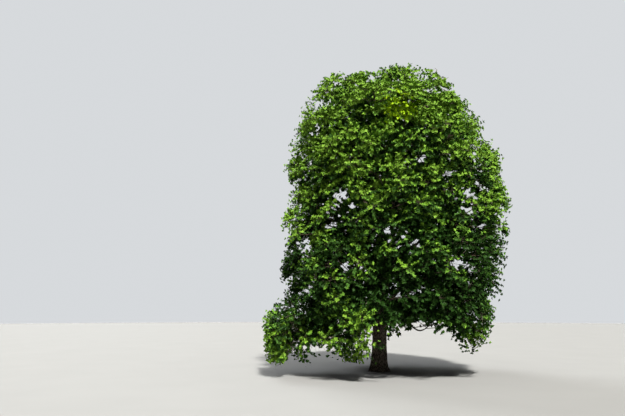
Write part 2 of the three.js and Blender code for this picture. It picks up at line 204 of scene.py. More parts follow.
# The windows: the clear ones first, then the clusters of small gaps.
WINDOWS = (
    Window(x=-1.06, z=5.19, wide=0.27, tall=0.19),
    Window(x=-0.72, z=4.86, wide=0.14, tall=0.12),
    Window(x=2.90, z=5.15, wide=0.21, tall=0.14),
    Window(x=2.80, z=4.72, wide=0.20, tall=0.13),
    Window(x=2.42, z=3.06, wide=0.28, tall=0.17),
    Window(x=1.15, z=3.70, wide=0.19, tall=0.13),
    Window(x=-1.33, z=4.23, wide=0.24, tall=0.15),
    Window(x=-0.96, z=2.98, wide=0.22, tall=0.13),
    Window(x=2.33, z=5.87, wide=0.20, tall=0.18),
    Window(x=1.50, z=6.36, wide=0.20, tall=0.16),
    Window(x=1.27, z=0.85, wide=0.92, tall=0.46, clear=1.0),
    Window(x=-1.70, z=0.60, wide=0.34, tall=0.14),
    Window(x=0.37, z=4.05, wide=0.14, tall=0.11),
    Window(x=0.56, z=2.12, wide=0.16, tall=0.10),
    Window(x=3.25, z=4.20, wide=0.13, tall=0.11),
    Window(x=0.04, z=1.02, wide=0.26, tall=0.40),
    Window(x=-1.16, z=4.75, wide=1.3, tall=1.4, clear=0.05),
    Window(x=0.68, z=3.85, wide=1.5, tall=1.0, clear=0.05),
    Window(x=2.89, z=5.19, wide=1.3, tall=1.5, clear=0.05),
    Window(x=2.65, z=2.98, wide=1.1, tall=0.75, clear=0.05),
    Window(x=-0.58, z=2.89, wide=1.5, tall=0.65, clear=0.05),
    Window(x=1.22, z=2.24, wide=1.2, tall=0.45, clear=0.05),
    Window(x=-2.17, z=3.64, wide=1.0, tall=0.65, clear=0.05),
    Window(x=-2.07, z=2.33, wide=0.8, tall=0.7, clear=0.05),
)


class Stream:
    """A repeatable stream of numbers, the same as the one that places the solids."""

    STEP = 0x6D2B79F5
    MASK = 0xFFFFFFFF
    ODD = 61
    SHIFTS = (15, 7, 14)

    def __init__(self, seed: int) -> None:
        """Starts the stream at a seed."""
        self.state = seed & self.MASK

    def share(self) -> float:
        """Draws the next number, from 0 to 1.

        Returns:
            The number.
        """
        first, middle, last = self.SHIFTS
        self.state = (self.state + self.STEP) & self.MASK
        mixed = ((self.state ^ (self.state >> first)) * (1 | self.state)) & self.MASK
        more = ((mixed ^ (mixed >> middle)) * (self.ODD | mixed)) & self.MASK
        mixed = ((mixed + more) & self.MASK) ^ mixed
        return (mixed ^ (mixed >> last)) / (self.MASK + 1)

    def sway(self) -> float:
        """Draws the next number, from -1 to 1."""
        return self.share() * 2 - 1


@dataclass(frozen=True)
class Seeds:
    """The seeds. Each mass has a run of them, and each of its twigs a shorter run within that."""

    first: int = 2107
    mass_step: int = 10000
    twig_step: int = 1000
    crook: int = 7
    fine: int = 41

    def mass(self, number: int) -> int:
        """Returns the seed of a mass, by its number."""
        return self.first + self.mass_step * number

    def twig(self, mass_seed: int, number: int) -> int:
        """Returns the seed of a mass's twig, by its number."""
        return mass_seed + self.twig_step * (number + 1)


SEEDS = Seeds()


def heading(bearing: float, slope: float) -> Vector:
    """Turns a level bearing and a slope above it into a direction.

    Args:
        bearing: The bearing, in degrees from +X.
        slope: The slope above the level, in degrees.

    Returns:
        The direction, one unit long.
    """
    b = math.radians(bearing)
    s = math.radians(slope)
    return Vector((math.cos(b) * math.cos(s), math.sin(b) * math.cos(s), math.sin(s)))


def unit(vectors: Points) -> Points:
    """Scales vectors to one unit, along the last axis."""
    return vectors / np.maximum(np.linalg.norm(vectors, axis=-1, keepdims=True), TINY)


def blend(first: float, last: float, share: float) -> float:
    """Returns the number that lies a share of the way from one number to another."""
    return first + (last - first) * share


def smooth_step(value: float, low: float, high: float) -> float:
    """Eases from 0 at a low value to 1 at a high one."""
    share = min(1.0, max(0.0, (value - low) / (high - low)))
    return share * share * (3 - 2 * share)


def ramp(values: Points, low: float, high: float) -> Points:
    """Rises evenly from 0 at a low value to 1 at a high one."""
    return np.clip((values - low) / (high - low), 0, 1)


class Line:
    """A curve that is also read by the share of its length."""

    SAMPLES = 200
    DELTA = 1e-4

    def __init__(self, point: Callable[[float], Vector]) -> None:
        """Measures the curve.

        Args:
            point: Gives the curve's point at a parameter from 0 to 1.
        """
        self.point = point
        self.steps = np.linspace(0, 1, self.SAMPLES + 1)
        points = np.array([point(step) for step in self.steps])
        spans = np.linalg.norm(np.diff(points, axis=0), axis=1)
        self.lengths = np.concatenate([[0.0], np.cumsum(spans)])

    @property
    def length(self) -> float:
        """The curve's length."""
        return float(self.lengths[-1])

    def parameter(self, share: float) -> float:
        """Returns the parameter at a share of the length."""
        return float(np.interp(share * self.length, self.lengths, self.steps))

    def at(self, share: float) -> Vector:
        """Returns the point at a share of the length."""
        return self.point(self.parameter(share))

    def tangent(self, share: float) -> Vector:
        """Finds which way the curve runs.

        Args:
            share: The share of the length.

        Returns:
            The direction there, one unit long.
        """
        middle = self.parameter(share)
        ahead = self.point(min(1.0, middle + self.DELTA))
        return (ahead - self.point(max(0.0, middle - self.DELTA))).normalized()

    def frames(self, rings: int) -> list[tuple[Vector, Vector, Vector]]:
        """Carries a cross-section along the curve without twisting it.

        Args:
            rings: How many steps the curve is taken in.

        Returns:
            The point and the two directions across the curve at each step's end.
        """
        tangents = [self.tangent(i / rings) for i in range(rings + 1)]
        spread = [abs(value) for value in tangents[0]]
        axis = max(i for i in range(3) if spread[i] == min(spread))
        helper = Vector([float(i == axis) for i in range(3)])
        normal = tangents[0].cross(tangents[0].cross(helper).normalized())
        found = []
        for i, tangent in enumerate(tangents):
            if i:
                normal = tangents[i - 1].rotation_difference(tangent) @ normal
            found.append((self.at(i / rings), normal.copy(), tangent.cross(normal)))
        return found


def trunk_line(lean: float, power: float, height: float) -> Line:
    """Draws the trunk's line, which rises from the origin and leans to the right as it goes."""
    return Line(lambda share: Vector((lean * share**power, 0, height * share)))


@dataclass(frozen=True)
class LimbShape:
    """How a limb's line eases out of its parent and into its mass, and how crooked it is."""

    ease_out: float = 0.42
    ease_in: float = 0.36
    crook: float = 0.026
    wave_x: float = 9.0
    wave_y: float = 11.0

    def line(self, start: Vector, leave: Vector, end: Vector, arrive: Vector, draws: Stream) -> Line:
        """Draws a limb's line.

        Args:
            start: Where it starts.
            leave: Its direction there.
            end: Where it ends.
            arrive: Its direction there.
            draws: The stream that turns its crook.

        Returns:
            The line.
        """
        span = (end - start).length
        corners = (start, start + leave * span * self.ease_out, end - arrive * span * self.ease_in, end)
        crook = span * self.crook
        phase_x = draws.share() * math.tau
        phase_y = draws.share() * math.tau

        def point(share: float) -> Vector:
            """Finds the limb's point.

            Args:
                share: The parameter, from 0 to 1.

            Returns:
                The point.
            """
            rest = 1 - share
            weights = (rest**3, 3 * rest * rest * share, 3 * rest * share * share, share**3)
            place = sum((c * w for c, w in zip(corners, weights)), Vector())
            swing = crook * math.sin(math.pi * share) ** 2
            place.x += swing * math.sin(self.wave_x * share + phase_x)
            place.y += swing * math.sin(self.wave_y * share + phase_y)
            return place

        return Line(point)


@dataclass(frozen=True)
class Crown:
    """The crown's outline: a dome over its middle and a barrel below, on an axis that drifts right."""

    top: float = 9.08
    middle: float = 4.9
    foot: float = 0.33
    reach: float = 3.38
    shift: float = 0.58
    shift_height: float = 4.5
    shift_back: float = 0.35
    dome_power: float = 2.7
    foot_power: float = 5.0
    face_up: float = 1.3
    least_up: float = 0.25

    def axis_at(self, heights: Points) -> Points:
        """Returns how far right the axis stands at each height. It comes back a little in the dome."""
        rise = np.maximum(0, (heights - self.middle) / (self.top - self.middle))
        return self.shift * np.minimum(1, heights / self.shift_height) - self.shift_back * rise**2

    def reach_at(self, heights: Points) -> Points:
        """Measures half the crown's width.

        Args:
            heights: The heights.

        Returns:
            The half width at each of them.
        """
        above = heights > self.middle
        span = np.where(above, self.top - self.middle, self.middle - self.foot)
        power = np.where(above, self.dome_power, self.foot_power)
        rise = np.minimum(1, np.abs(heights - self.middle) / span)
        return self.reach * (1 - rise**power) ** (1 / power)

    def out_of(self, points: Points) -> Points:
        """Finds the way out of the crown: nearly level round its sides, and upwards at its top.

        Args:
            points: The places, on the last axis.

        Returns:
            The directions, each one unit long.
        """
        rise = (points[..., 2] - self.middle) / (self.top - self.middle)
        ways = np.empty_like(points)
        ways[..., 0] = (points[..., 0] - self.axis_at(points[..., 2])) / self.reach
        ways[..., 1] = points[..., 1] / self.reach
        ways[..., 2] = np.maximum(self.least_up, self.face_up * rise)
        return unit(ways)

    def depth(self, points: Points) -> Points:
        """Measures how deep points lie in the crown.

        Args:
            points: The places, on the last axis.

        Returns:
            How far each lies inside the outline. It is below 0 outside.
        """
        heights = points[..., 2]
        level = np.hypot(points[..., 0] - self.axis_at(heights), points[..., 1])
        side = self.reach_at(heights) - level
        return np.minimum(side, np.minimum(heights - self.foot, self.top - heights))


@dataclass(frozen=True)
class Sky:
    """The windows in the crown, as the eye sees them, and the weave that frays them."""

    eye: tuple[float, float, float] = EYE
    windows: tuple[Window, ...] = WINDOWS
    ragged: float = 0.56
    frayed: float = 0.14
    bare: float = 1.2
    weave_x: float = 15.0
    weave_z: float = 21.0
    weave_bend: float = 1.7
    weave_slow: float = 0.37

    def seen(self, points: Points) -> tuple[Points, Points]:
        """Finds where the eye sees points on the trunk's plane.

        Args:
            points: The places, on the last axis.

        Returns:
            How far right and how high it sees each of them.
        """
        near = -self.eye[1] / (points[..., 1] - self.eye[1])
        x = self.eye[0] + (points[..., 0] - self.eye[0]) * near
        z = self.eye[2] + (points[..., 2] - self.eye[2]) * near
        return x, z

    def weave(self, x: Points, z: Points) -> Points:
        """Makes the uneven pattern, from -1 to 1, that frays the windows and parts the small gaps.

        Args:
            x: How far right the eye sees each place.
            z: How high it sees it.

        Returns:
            The pattern there.
        """
        bent_x = self.weave_x * x + self.weave_bend * np.sin(self.weave_slow * self.weave_z * z)
        bent_z = self.weave_z * z + self.weave_bend * np.sin(self.weave_slow * self.weave_x * x)
        return np.sin(bent_x) * np.sin(bent_z)

    def shows(self, points: Points, sways: Points) -> Points:
        """Tells where the sky shows through.

        Args:
            points: The places, on the last axis.
            sways: A number from -1 to 1 for each, which frays the gaps a little more.

        Returns:
            Whether each place is open.
        """
        x, z = self.seen(points)
        spread = self.ragged * self.weave(x, z) + self.frayed * sways
        open_there = np.zeros(points.shape[:-1], bool)
        for window in self.windows:
            open_there |= window.off(x, z) < window.clear + spread
        return open_there

    def bares(self, points: Points) -> Points:
        """Tells where a window is so clear that no branchlet may end there.

        Args:
            points: The places, on the last axis.

        Returns:
            Whether each place is bare.
        """
        x, z = self.seen(points)
        bare = np.zeros(points.shape[:-1], bool)
        for window in self.windows:
            bare |= window.off(x, z) < window.clear * self.bare
        return bare


@dataclass
class Mass:
    """One mass of foliage: its place, its half sizes and its seed."""

    tier: Tier
    name: str
    middle: Vector
    bearing: float
    wide: float
    tall: float
    sweeps: bool
    seed: int


@dataclass
class Limb:
    """A limb that carries others: its mass's facts, its line and how many boughs spring from it."""

    mass: Mass | None
    line: Line
    carries: int = 0


@dataclass(frozen=True)
class Planting:
    """Places the masses in their tiers, each a little off its even place."""

    stray_height: float = 0.26
    stray_away: float = 0.12
    stray_bearing: float = 8.0

    def masses(self, crown: Crown) -> list[Mass]:
        """Places every mass.

        Args:
            crown: The crown that they fill.

        Returns:
            The masses, from the top down.
        """
        found: list[Mass] = []
        for tier, sizes in TIERS.items():
            for i in range(sizes.count):
                found.append(self.place(tier, sizes, i, len(found), crown))
        return found

    def place(self, tier: Tier, sizes: TierSizes, i: int, number: int, crown: Crown) -> Mass:
        """Places one mass.

        Args:
            tier: Its tier.
            sizes: The tier's sizes.
            i: Its place in the tier.
            number: Its number in the whole crown.
            crown: The crown that it helps to fill.

        Returns:
            The mass.
        """
        seed = SEEDS.mass(number)
        draws = Stream(seed)
        raised, moved, turned = draws.sway(), draws.sway(), draws.sway()
        name = tier.value if sizes.count == 1 else f"{tier.value}_{i + 1}"
        sweeps = name == SWEEP_NAME
        own = SWEEP if sweeps else sizes
        strays = 0 if sweeps or sizes.count == 1 else 1
        height = own.height + strays * raised * self.stray_height
        away = own.away + strays * moved * self.stray_away
        even = own.bearing if sweeps else sizes.bearing + FULL_TURN * i / sizes.count
        bearing = even + strays * turned * self.stray_bearing
        middle = heading(bearing, 0) * away
        middle.x += float(crown.axis_at(np.array(height)))
        middle.z = height
        return Mass(tier, name, middle, bearing, own.wide, own.tall, sweeps, seed)


@dataclass(frozen=True)
class Layers:
    """A noise pattern: its scale, how many finer layers it has, and how strong they are."""

    scale: float
    detail: float
    rough: float


class Value:
    """A socket that carries one number. Arithmetic on it adds Math nodes."""

    def __init__(self, shader: "Shader", socket: bpy.types.NodeSocket) -> None:
        """Wraps a socket of a shader's tree."""
        self.shader = shader
        self.socket = socket

    def _math(self, operation: str, *operands: "float | Value") -> "Value":
        """Adds one Math node.

        Args:
            operation: What the node does.
            operands: What it does it to, in order.

        Returns:
            The node's result.
        """
        inputs = dict(enumerate(operands))
        node = self.shader.add("ShaderNodeMath", {"operation": operation}, inputs)
        return Value(self.shader, node.outputs[0])

    def __add__(self, other: "float | Value") -> "Value":
        """Adds."""
        return self._math("ADD", self, other)

    def __radd__(self, other: float) -> "Value":
        """Adds to a plain number."""
        return self._math("ADD", other, self)

    def __sub__(self, other: "float | Value") -> "Value":
        """Subtracts."""
        return self._math("SUBTRACT", self, other)

    def __rsub__(self, other: float) -> "Value":
        """Subtracts from a plain number."""
        return self._math("SUBTRACT", other, self)

    def __mul__(self, other: "float | Value") -> "Value":
        """Multiplies."""
        return self._math("MULTIPLY", self, other)

    def __rmul__(self, other: float) -> "Value":
        """Multiplies a plain number."""
        return self._math("MULTIPLY", other, self)

    def between(self, low: float, high: float) -> "Value":
        """Eases from 0 at a low value to 1 at a high one.

        Args:
            low: Where it is 0.
            high: Where it is 1.

        Returns:
            The eased value.
        """
        settings = {"interpolation_type": "SMOOTHSTEP"}
        inputs = {"Value": self, "From Min": low, "From Max": high}
        return Value(self.shader, self.shader.add("ShaderNodeMapRange", settings, inputs).outputs[0])


class Shader:
    """The node tree of one material."""

    MIX_SHARE = 0
    MIX_FIRST = 6
    MIX_LAST = 7
    MIX_RESULT = 2

    def __init__(self, name: str) -> None:
        """Starts an empty material.

        Args:
            name: The material's name.
        """
        self.material = bpy.data.materials.new(name)
        self.material.use_nodes = True
        self.tree = self.material.node_tree
        self.tree.nodes.clear()

    def add(self, kind: str, settings: dict | None = None, inputs: dict | None = None) -> bpy.types.Node:
        """Adds one node.

        Args:
            kind: The node's type.
            settings: Its settings, set before its sockets.
            inputs: The value or the link of each socket, by name or number.

        Returns:
            The node.
        """
        node = self.tree.nodes.new(kind)
        for key, setting in (settings or {}).items():
            setattr(node, key, setting)
        for key, given in (inputs or {}).items():
            if isinstance(given, Value):
                self.tree.links.new(given.socket, node.inputs[key])
            elif isinstance(given, bpy.types.NodeSocket):
                self.tree.links.new(given, node.inputs[key])
            else:
                node.inputs[key].default_value = given
        return node

    def grain(self, stretch: tuple[float, float, float]) -> bpy.types.NodeSocket:
        """Reads a limb's own coordinates from its attribute.

        Args:
            stretch: How far each coordinate is scaled.

        Returns:
            The scaled coordinates.
        """
        read = self.add("ShaderNodeAttribute", {"attribute_name": GRAIN})
        scaled = self.add("ShaderNodeMapping", {}, {"Vector": read.outputs["Vector"], "Scale": stretch})
        return scaled.outputs["Vector"]

    def noise(self, vector: bpy.types.NodeSocket, layers: Layers) -> Value:
        """Adds a noise pattern.

        Args:
            vector: Where it is read.
            layers: Its layers.

        Returns:
            The pattern, from 0 to 1.
        """
        inputs = {
            "Vector": vector,
            "Scale": layers.scale,
            "Detail": layers.detail,
            "Roughness": layers.rough,
        }
        return Value(self, self.add("ShaderNodeTexNoise", {}, inputs).outputs[0])

    def mix(self, share: Value, first: object, last: object) -> bpy.types.NodeSocket:
        """Mixes two colours.

        Args:
            share: How much of the last one there is.
            first: A colour or a link.
            last: A colour or a link.

        Returns:
            The mixed colour.
        """
        colours = [c if isinstance(c, bpy.types.NodeSocket) else (*c, 1) for c in (first, last)]
        inputs = {self.MIX_SHARE: share, self.MIX_FIRST: colours[0], self.MIX_LAST: colours[1]}
        return self.add("ShaderNodeMix", {"data_type": "RGBA"}, inputs).outputs[self.MIX_RESULT]

    def surface(self, inputs: dict) -> bpy.types.Material:
        """Ends the tree in one plain surface.

        Args:
            inputs: The values and links of the surface's sockets.

        Returns:
            The finished material.
        """
        end = self.add("ShaderNodeBsdfPrincipled", {}, inputs)
        self.add("ShaderNodeOutputMaterial", {}, {"Surface": end.outputs[0]})
        return self.material


@dataclass(frozen=True)
class BarkFinish:
    """Old hawthorn bark: brown-grey plates with dark furrows between, and a green bloom in patches."""

    name: str
    plate: Colour = (0.115, 0.088, 0.066)
    plate_pale: Colour = (0.21, 0.175, 0.14)
    furrow: Colour = (0.026, 0.019, 0.014)
    bloom: Colour = (0.085, 0.105, 0.05)
    plates_per_metre: float = 34.0
    unevenness: float = 0.9
    along: float = 0.26
    crust_edges: tuple[float, float] = (0.02, 0.24)
    fibre: Layers = Layers(scale=150.0, detail=5.0, rough=0.62)
    patches: Layers = Layers(scale=3.4, detail=4.0, rough=0.6)
    tone_of_fibre: float = 0.7
    tone_of_patches: float = 0.5
    tone_edges: tuple[float, float] = (0.35, 0.85)
    bloom_share: float = 0.45
    bloom_of_fibre: float = 0.2
    bloom_edges: tuple[float, float] = (0.56, 0.74)
    height_of_crust: float = 0.65
    height_of_fibre: float = 0.35
    depth: float = 0.007
    strength: float = 0.8
    roughness: float = 0.98
    polish: float = 0.18
    shine: float = 0.25

    def material(self) -> bpy.types.Material:
        """Makes the finish.

        Returns:
            The material.
        """
        shader = Shader(self.name)
        even = shader.grain((1, 1, 1))
        drawn = shader.grain((1, 1, self.along))
        cells = {"Vector": drawn, "Scale": self.plates_per_metre, "Randomness": self.unevenness}
        edges = shader.add("ShaderNodeTexVoronoi", {"feature": "DISTANCE_TO_EDGE"}, cells)
        crust = Value(shader, edges.outputs["Distance"]).between(*self.crust_edges)
        fibre = shader.noise(drawn, self.fibre)
        patches = shader.noise(even, self.patches)
        tone = (fibre * self.tone_of_fibre + patches * self.tone_of_patches).between(*self.tone_edges)
        wood = shader.mix(tone, self.plate, self.plate_pale)
        bloom = (patches + fibre * self.bloom_of_fibre).between(*self.bloom_edges) * self.bloom_share
        green = shader.mix(bloom, wood, self.bloom)
        colour = shader.mix(crust, self.furrow, green)
        height = crust * self.height_of_crust + fibre * self.height_of_fibre
        bump = {"Height": height, "Distance": self.depth, "Strength": self.strength}
        relief = shader.add("ShaderNodeBump", {}, bump)
        return shader.surface(
            {
                "Base Color": colour,
                "Roughness": self.roughness - self.polish * fibre,
                "Specular IOR Level": self.shine,
                "Normal": relief.outputs[0],
            }
        )


@dataclass(frozen=True)
class TwigFinish:
    """Young wood: olive brown, and greyer in places."""

    name: str
    brown: Colour = (0.075, 0.05, 0.03)
    grey: Colour = (0.13, 0.115, 0.085)
    layers: Layers = Layers(scale=5.0, detail=3.0, rough=0.6)
    edges: tuple[float, float] = (0.4, 0.7)
    roughness: float = 0.9
    polish: float = 0.2
    shine: float = 0.3

    def material(self) -> bpy.types.Material:
        """Makes the finish.

        Returns:
            The material.
        """
        shader = Shader(self.name)
        place = shader.add("ShaderNodeTexCoord").outputs["Object"]
        tone = shader.noise(place, self.layers)
        return shader.surface(
            {
                "Base Color": shader.mix(tone.between(*self.edges), self.brown, self.grey),
                "Roughness": self.roughness - self.polish * tone,
                "Specular IOR Level": self.shine,
            }
        )


@dataclass(frozen=True)
class LeafFinish:
    """One plain tint of leaf, with the soft shine of a waxy blade."""

    name: str
    colour: Colour
    roughness: float = 0.55
    shine: float = 0.05

    def material(self) -> bpy.types.Material:
        """Makes the finish.

        Returns:
            The material.
        """
        shader = Shader(self.name)
        return shader.surface(
            {
                "Base Color": (*self.colour, 1),
                "Roughness": self.roughness,
                "Specular IOR Level": self.shine,
            }
        )


class Tint(Enum):
    """The tints of leaf, from dark to light: partly the leaves' age, and partly painted shade deep in the
    crown and painted light high up and on the mounds' tops; and the sunny one of a few sprays.
    """

    # The darkest tints are partly painted shade and the lightest partly painted light, as well as the
    # leaves' age.
    DEEP_PAINTED_SHADE = LeafFinish("leaf_deep_painted_shade", (0.014, 0.040, 0.006), roughness=0.5)
    SHADE = LeafFinish("leaf_shade", (0.034, 0.086, 0.012), roughness=0.52)
    FULL = LeafFinish("leaf_full", (0.075, 0.165, 0.018))
    FRESH_PAINTED_LIGHT = LeafFinish("leaf_fresh_painted_light", (0.106, 0.212, 0.017))
    YOUNG_PAINTED_LIGHT = LeafFinish("leaf_young_painted_light", (0.119, 0.224, 0.022), roughness=0.58)
    SUNNY = LeafFinish("leaf_sunny", (0.215, 0.350, 0.006), roughness=0.58)


def new_object(name: str, data: bpy.types.ID) -> bpy.types.Object:
    """Puts an object in the scene.

    Args:
        name: Its name.
        data: Its mesh, lamp or camera.

    Returns:
        The object, at the origin.
    """
    thing = bpy.data.objects.new(name, data)
    bpy.context.scene.collection.objects.link(thing)
    return thing


def new_piece(name: str, bm: bmesh.types.BMesh, finish: bpy.types.Material) -> bpy.types.Object:
    """Makes a piece of a finished mesh, which is freed.

    Args:
        name: The piece's name.
        bm: The mesh.
        finish: Its finish.

    Returns:
        The piece.
    """
    mesh = bpy.data.meshes.new(name)
    bm.to_mesh(mesh)
    bm.free()
    mesh.materials.append(finish)
    return new_object(name, mesh)


def tie(piece: bpy.types.Object, slot: Slot, nodes: list[str]) -> bpy.types.Object:
    """Ties a piece to the part.

    Args:
        piece: The piece.
        slot: The slot of its finish. It is not used.
        nodes: The nodes that it stands for.

    Returns:
        The piece.
    """
    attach(piece, BODY)
    if nodes:
        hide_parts(*nodes)
    return piece


def add_tube(bm: bmesh.types.BMesh, sides: int, spans: int, tip: float = 1.0) -> None:
    """Adds an upright tube with both ends closed, one unit long and centred on the origin.

    Args:
        bm: The mesh that it is added to.
        sides: How many sides it has.
        spans: How many rings of faces stand on each other.
        tip: Its radius at the top, where that at its foot is 1.
    """
    first = len(bm.verts)
    bmesh.ops.create_cone(bm, cap_ends=True, segments=sides, radius1=1, radius2=tip, depth=1)
    bm.verts.ensure_lookup_table()
    fresh = set(bm.verts[first:])
    upright = [
        e for e in bm.edges
        if e.verts[0] in fresh and abs(e.verts[0].co.z - e.verts[1].co.z) > HALF
    ]
    bmesh.ops.subdivide_edges(bm, edges=upright, cuts=spans - 1, use_grid_fill=True)
    bm.verts.ensure_lookup_table()


@dataclass(frozen=True)
class BarkRelief:
    """The relief of the bark: long ridges that break into plates, in the limb's own coordinates."""

    ridges_per_metre: float = 17.0
    along: float = 0.2
    fine_scale: float = 2.3
    fine_share: float = 0.6
    lumps_per_metre: float = 4.5
    lump_along: float = 0.6
    plate_middle: float = 0.6
    plate_depth: float = 0.05
    lump_depth: float = 0.045

    def at(self, grain: Vector, radius: float) -> float:
        """Measures how far the bark stands out.

        Args:
            grain: The place, in the limb's own coordinates.
            radius: The limb's radius there.

        Returns:
            The height over the plain radius. It is below 0 in a furrow.
        """
        drawn = Vector((grain.x, grain.y, grain.z * self.along)) * self.ridges_per_metre
        broad = abs(noise.noise(drawn))
        fine = abs(noise.noise(drawn * self.fine_scale))
        ridge = 1 - 2 * broad - self.fine_share * fine
        lump = noise.noise(Vector((grain.x, grain.y, grain.z * self.lump_along)) * self.lumps_per_metre)
        return radius * (self.plate_depth * (ridge - self.plate_middle) + self.lump_depth * lump)


class BarkTube:
    """A mesh of limbs: tubes with bark relief, joined into one piece."""

    LEAST_RINGS = 3
    QUAD = 4
    SHIFT = 0.007

    def __init__(self, relief: BarkRelief) -> None:
        """Starts with no limb.

        Args:
            relief: The relief of the bark.
        """
        self.bm = bmesh.new()
        self.grain = self.bm.verts.layers.float_vector.new(GRAIN)
        self.relief = relief

    def add(self, line: Line, sides: int, step: float, radius_at: Callable[[float, float], float]) -> None:
        """Adds one limb. Its pattern is shifted by the corners before it, so that no two are alike.

        Args:
            line: The line that it follows.
            sides: How many sides it has.
            step: How far apart its rings are.
            radius_at: Its radius at a share of its length and an angle round it.
        """
        rings = max(self.LEAST_RINGS, round(line.length / step))
        first = len(self.bm.verts)
        add_tube(self.bm, sides, rings)
        frames = line.frames(rings)
        offset = self.SHIFT * first
        for vertex in self.bm.verts[first:]:
            ring = round((vertex.co.z + HALF) * rings)
            share = ring / rings
            turn = math.atan2(vertex.co.y, vertex.co.x)
            centre, normal, across = frames[ring]
            plain = radius_at(share, turn)
            along = share * line.length
            grain = Vector((math.cos(turn) * plain, math.sin(turn) * plain, along + offset))
            radius = plain + self.relief.at(grain, plain)
            vertex.co = centre + normal * (math.cos(turn) * radius) - across * (math.sin(turn) * radius)
            vertex[self.grain] = grain

    def piece(self, name: str, finish: BarkFinish) -> bpy.types.Object:
        """Ends the mesh and dresses it.

        Args:
            name: The piece's name.
            finish: Its bark.

        Returns:
            The piece.
        """
        bmesh.ops.recalc_face_normals(self.bm, faces=self.bm.faces[:])
        for face in self.bm.faces:
            face.smooth = len(face.verts) == self.QUAD
        return new_piece(name, self.bm, finish.material())


@dataclass
class Trunk:
    """The trunk: fluted, flared at its foot, and drawn in towards the fork."""

    height: float = 2.6
    radius: float = 0.205
    top_radius: float = 0.104
    taper_from: float = 1.5
    lean: float = 0.15
    lean_power: float = 1.6
    draw: float = 0.04
    flare_height: float = 0.21
    flare_share: float = 0.42
    flutes: int = 5
    flute_share: float = 0.07
    flute_twist: float = 1.5
    flare_flute: float = 0.35
    sides: int = 110
    ring_step: float = 0.018
    line: Line = field(init=False)

    def __post_init__(self) -> None:
        """Draws the trunk's line."""
        self.line = trunk_line(self.lean, self.lean_power, self.height)

    def radius_at(self, share: float, turn: float) -> float:
        """Measures the trunk.

        Args:
            share: The share of its height.
            turn: The angle round it.

        Returns:
            Its radius there.
        """
        height = share * self.height
        taper = smooth_step(height, self.taper_from, self.height)
        plain = blend(self.radius * (1 - self.draw * share), self.top_radius, taper)
        flare = self.flare_share * math.exp(-height / self.flare_height)
        fluting = self.flute_share * (1 - taper) + self.flare_flute * flare
        return plain * (1 + flare + fluting * math.cos(self.flutes * turn + self.flute_twist * share))

    def build(self, relief: BarkRelief, finish: BarkFinish) -> bpy.types.Object:
        """Makes the trunk.

        Args:
            relief: The relief of its bark.
            finish: The finish of its bark.

        Returns:
            The piece.
        """
        tube = BarkTube(relief)
        tube.add(self.line, self.sides, self.ring_step, self.radius_at)
        return tie(tube.piece("trunk_bark", finish), Slot.BARK, ["trunk"])


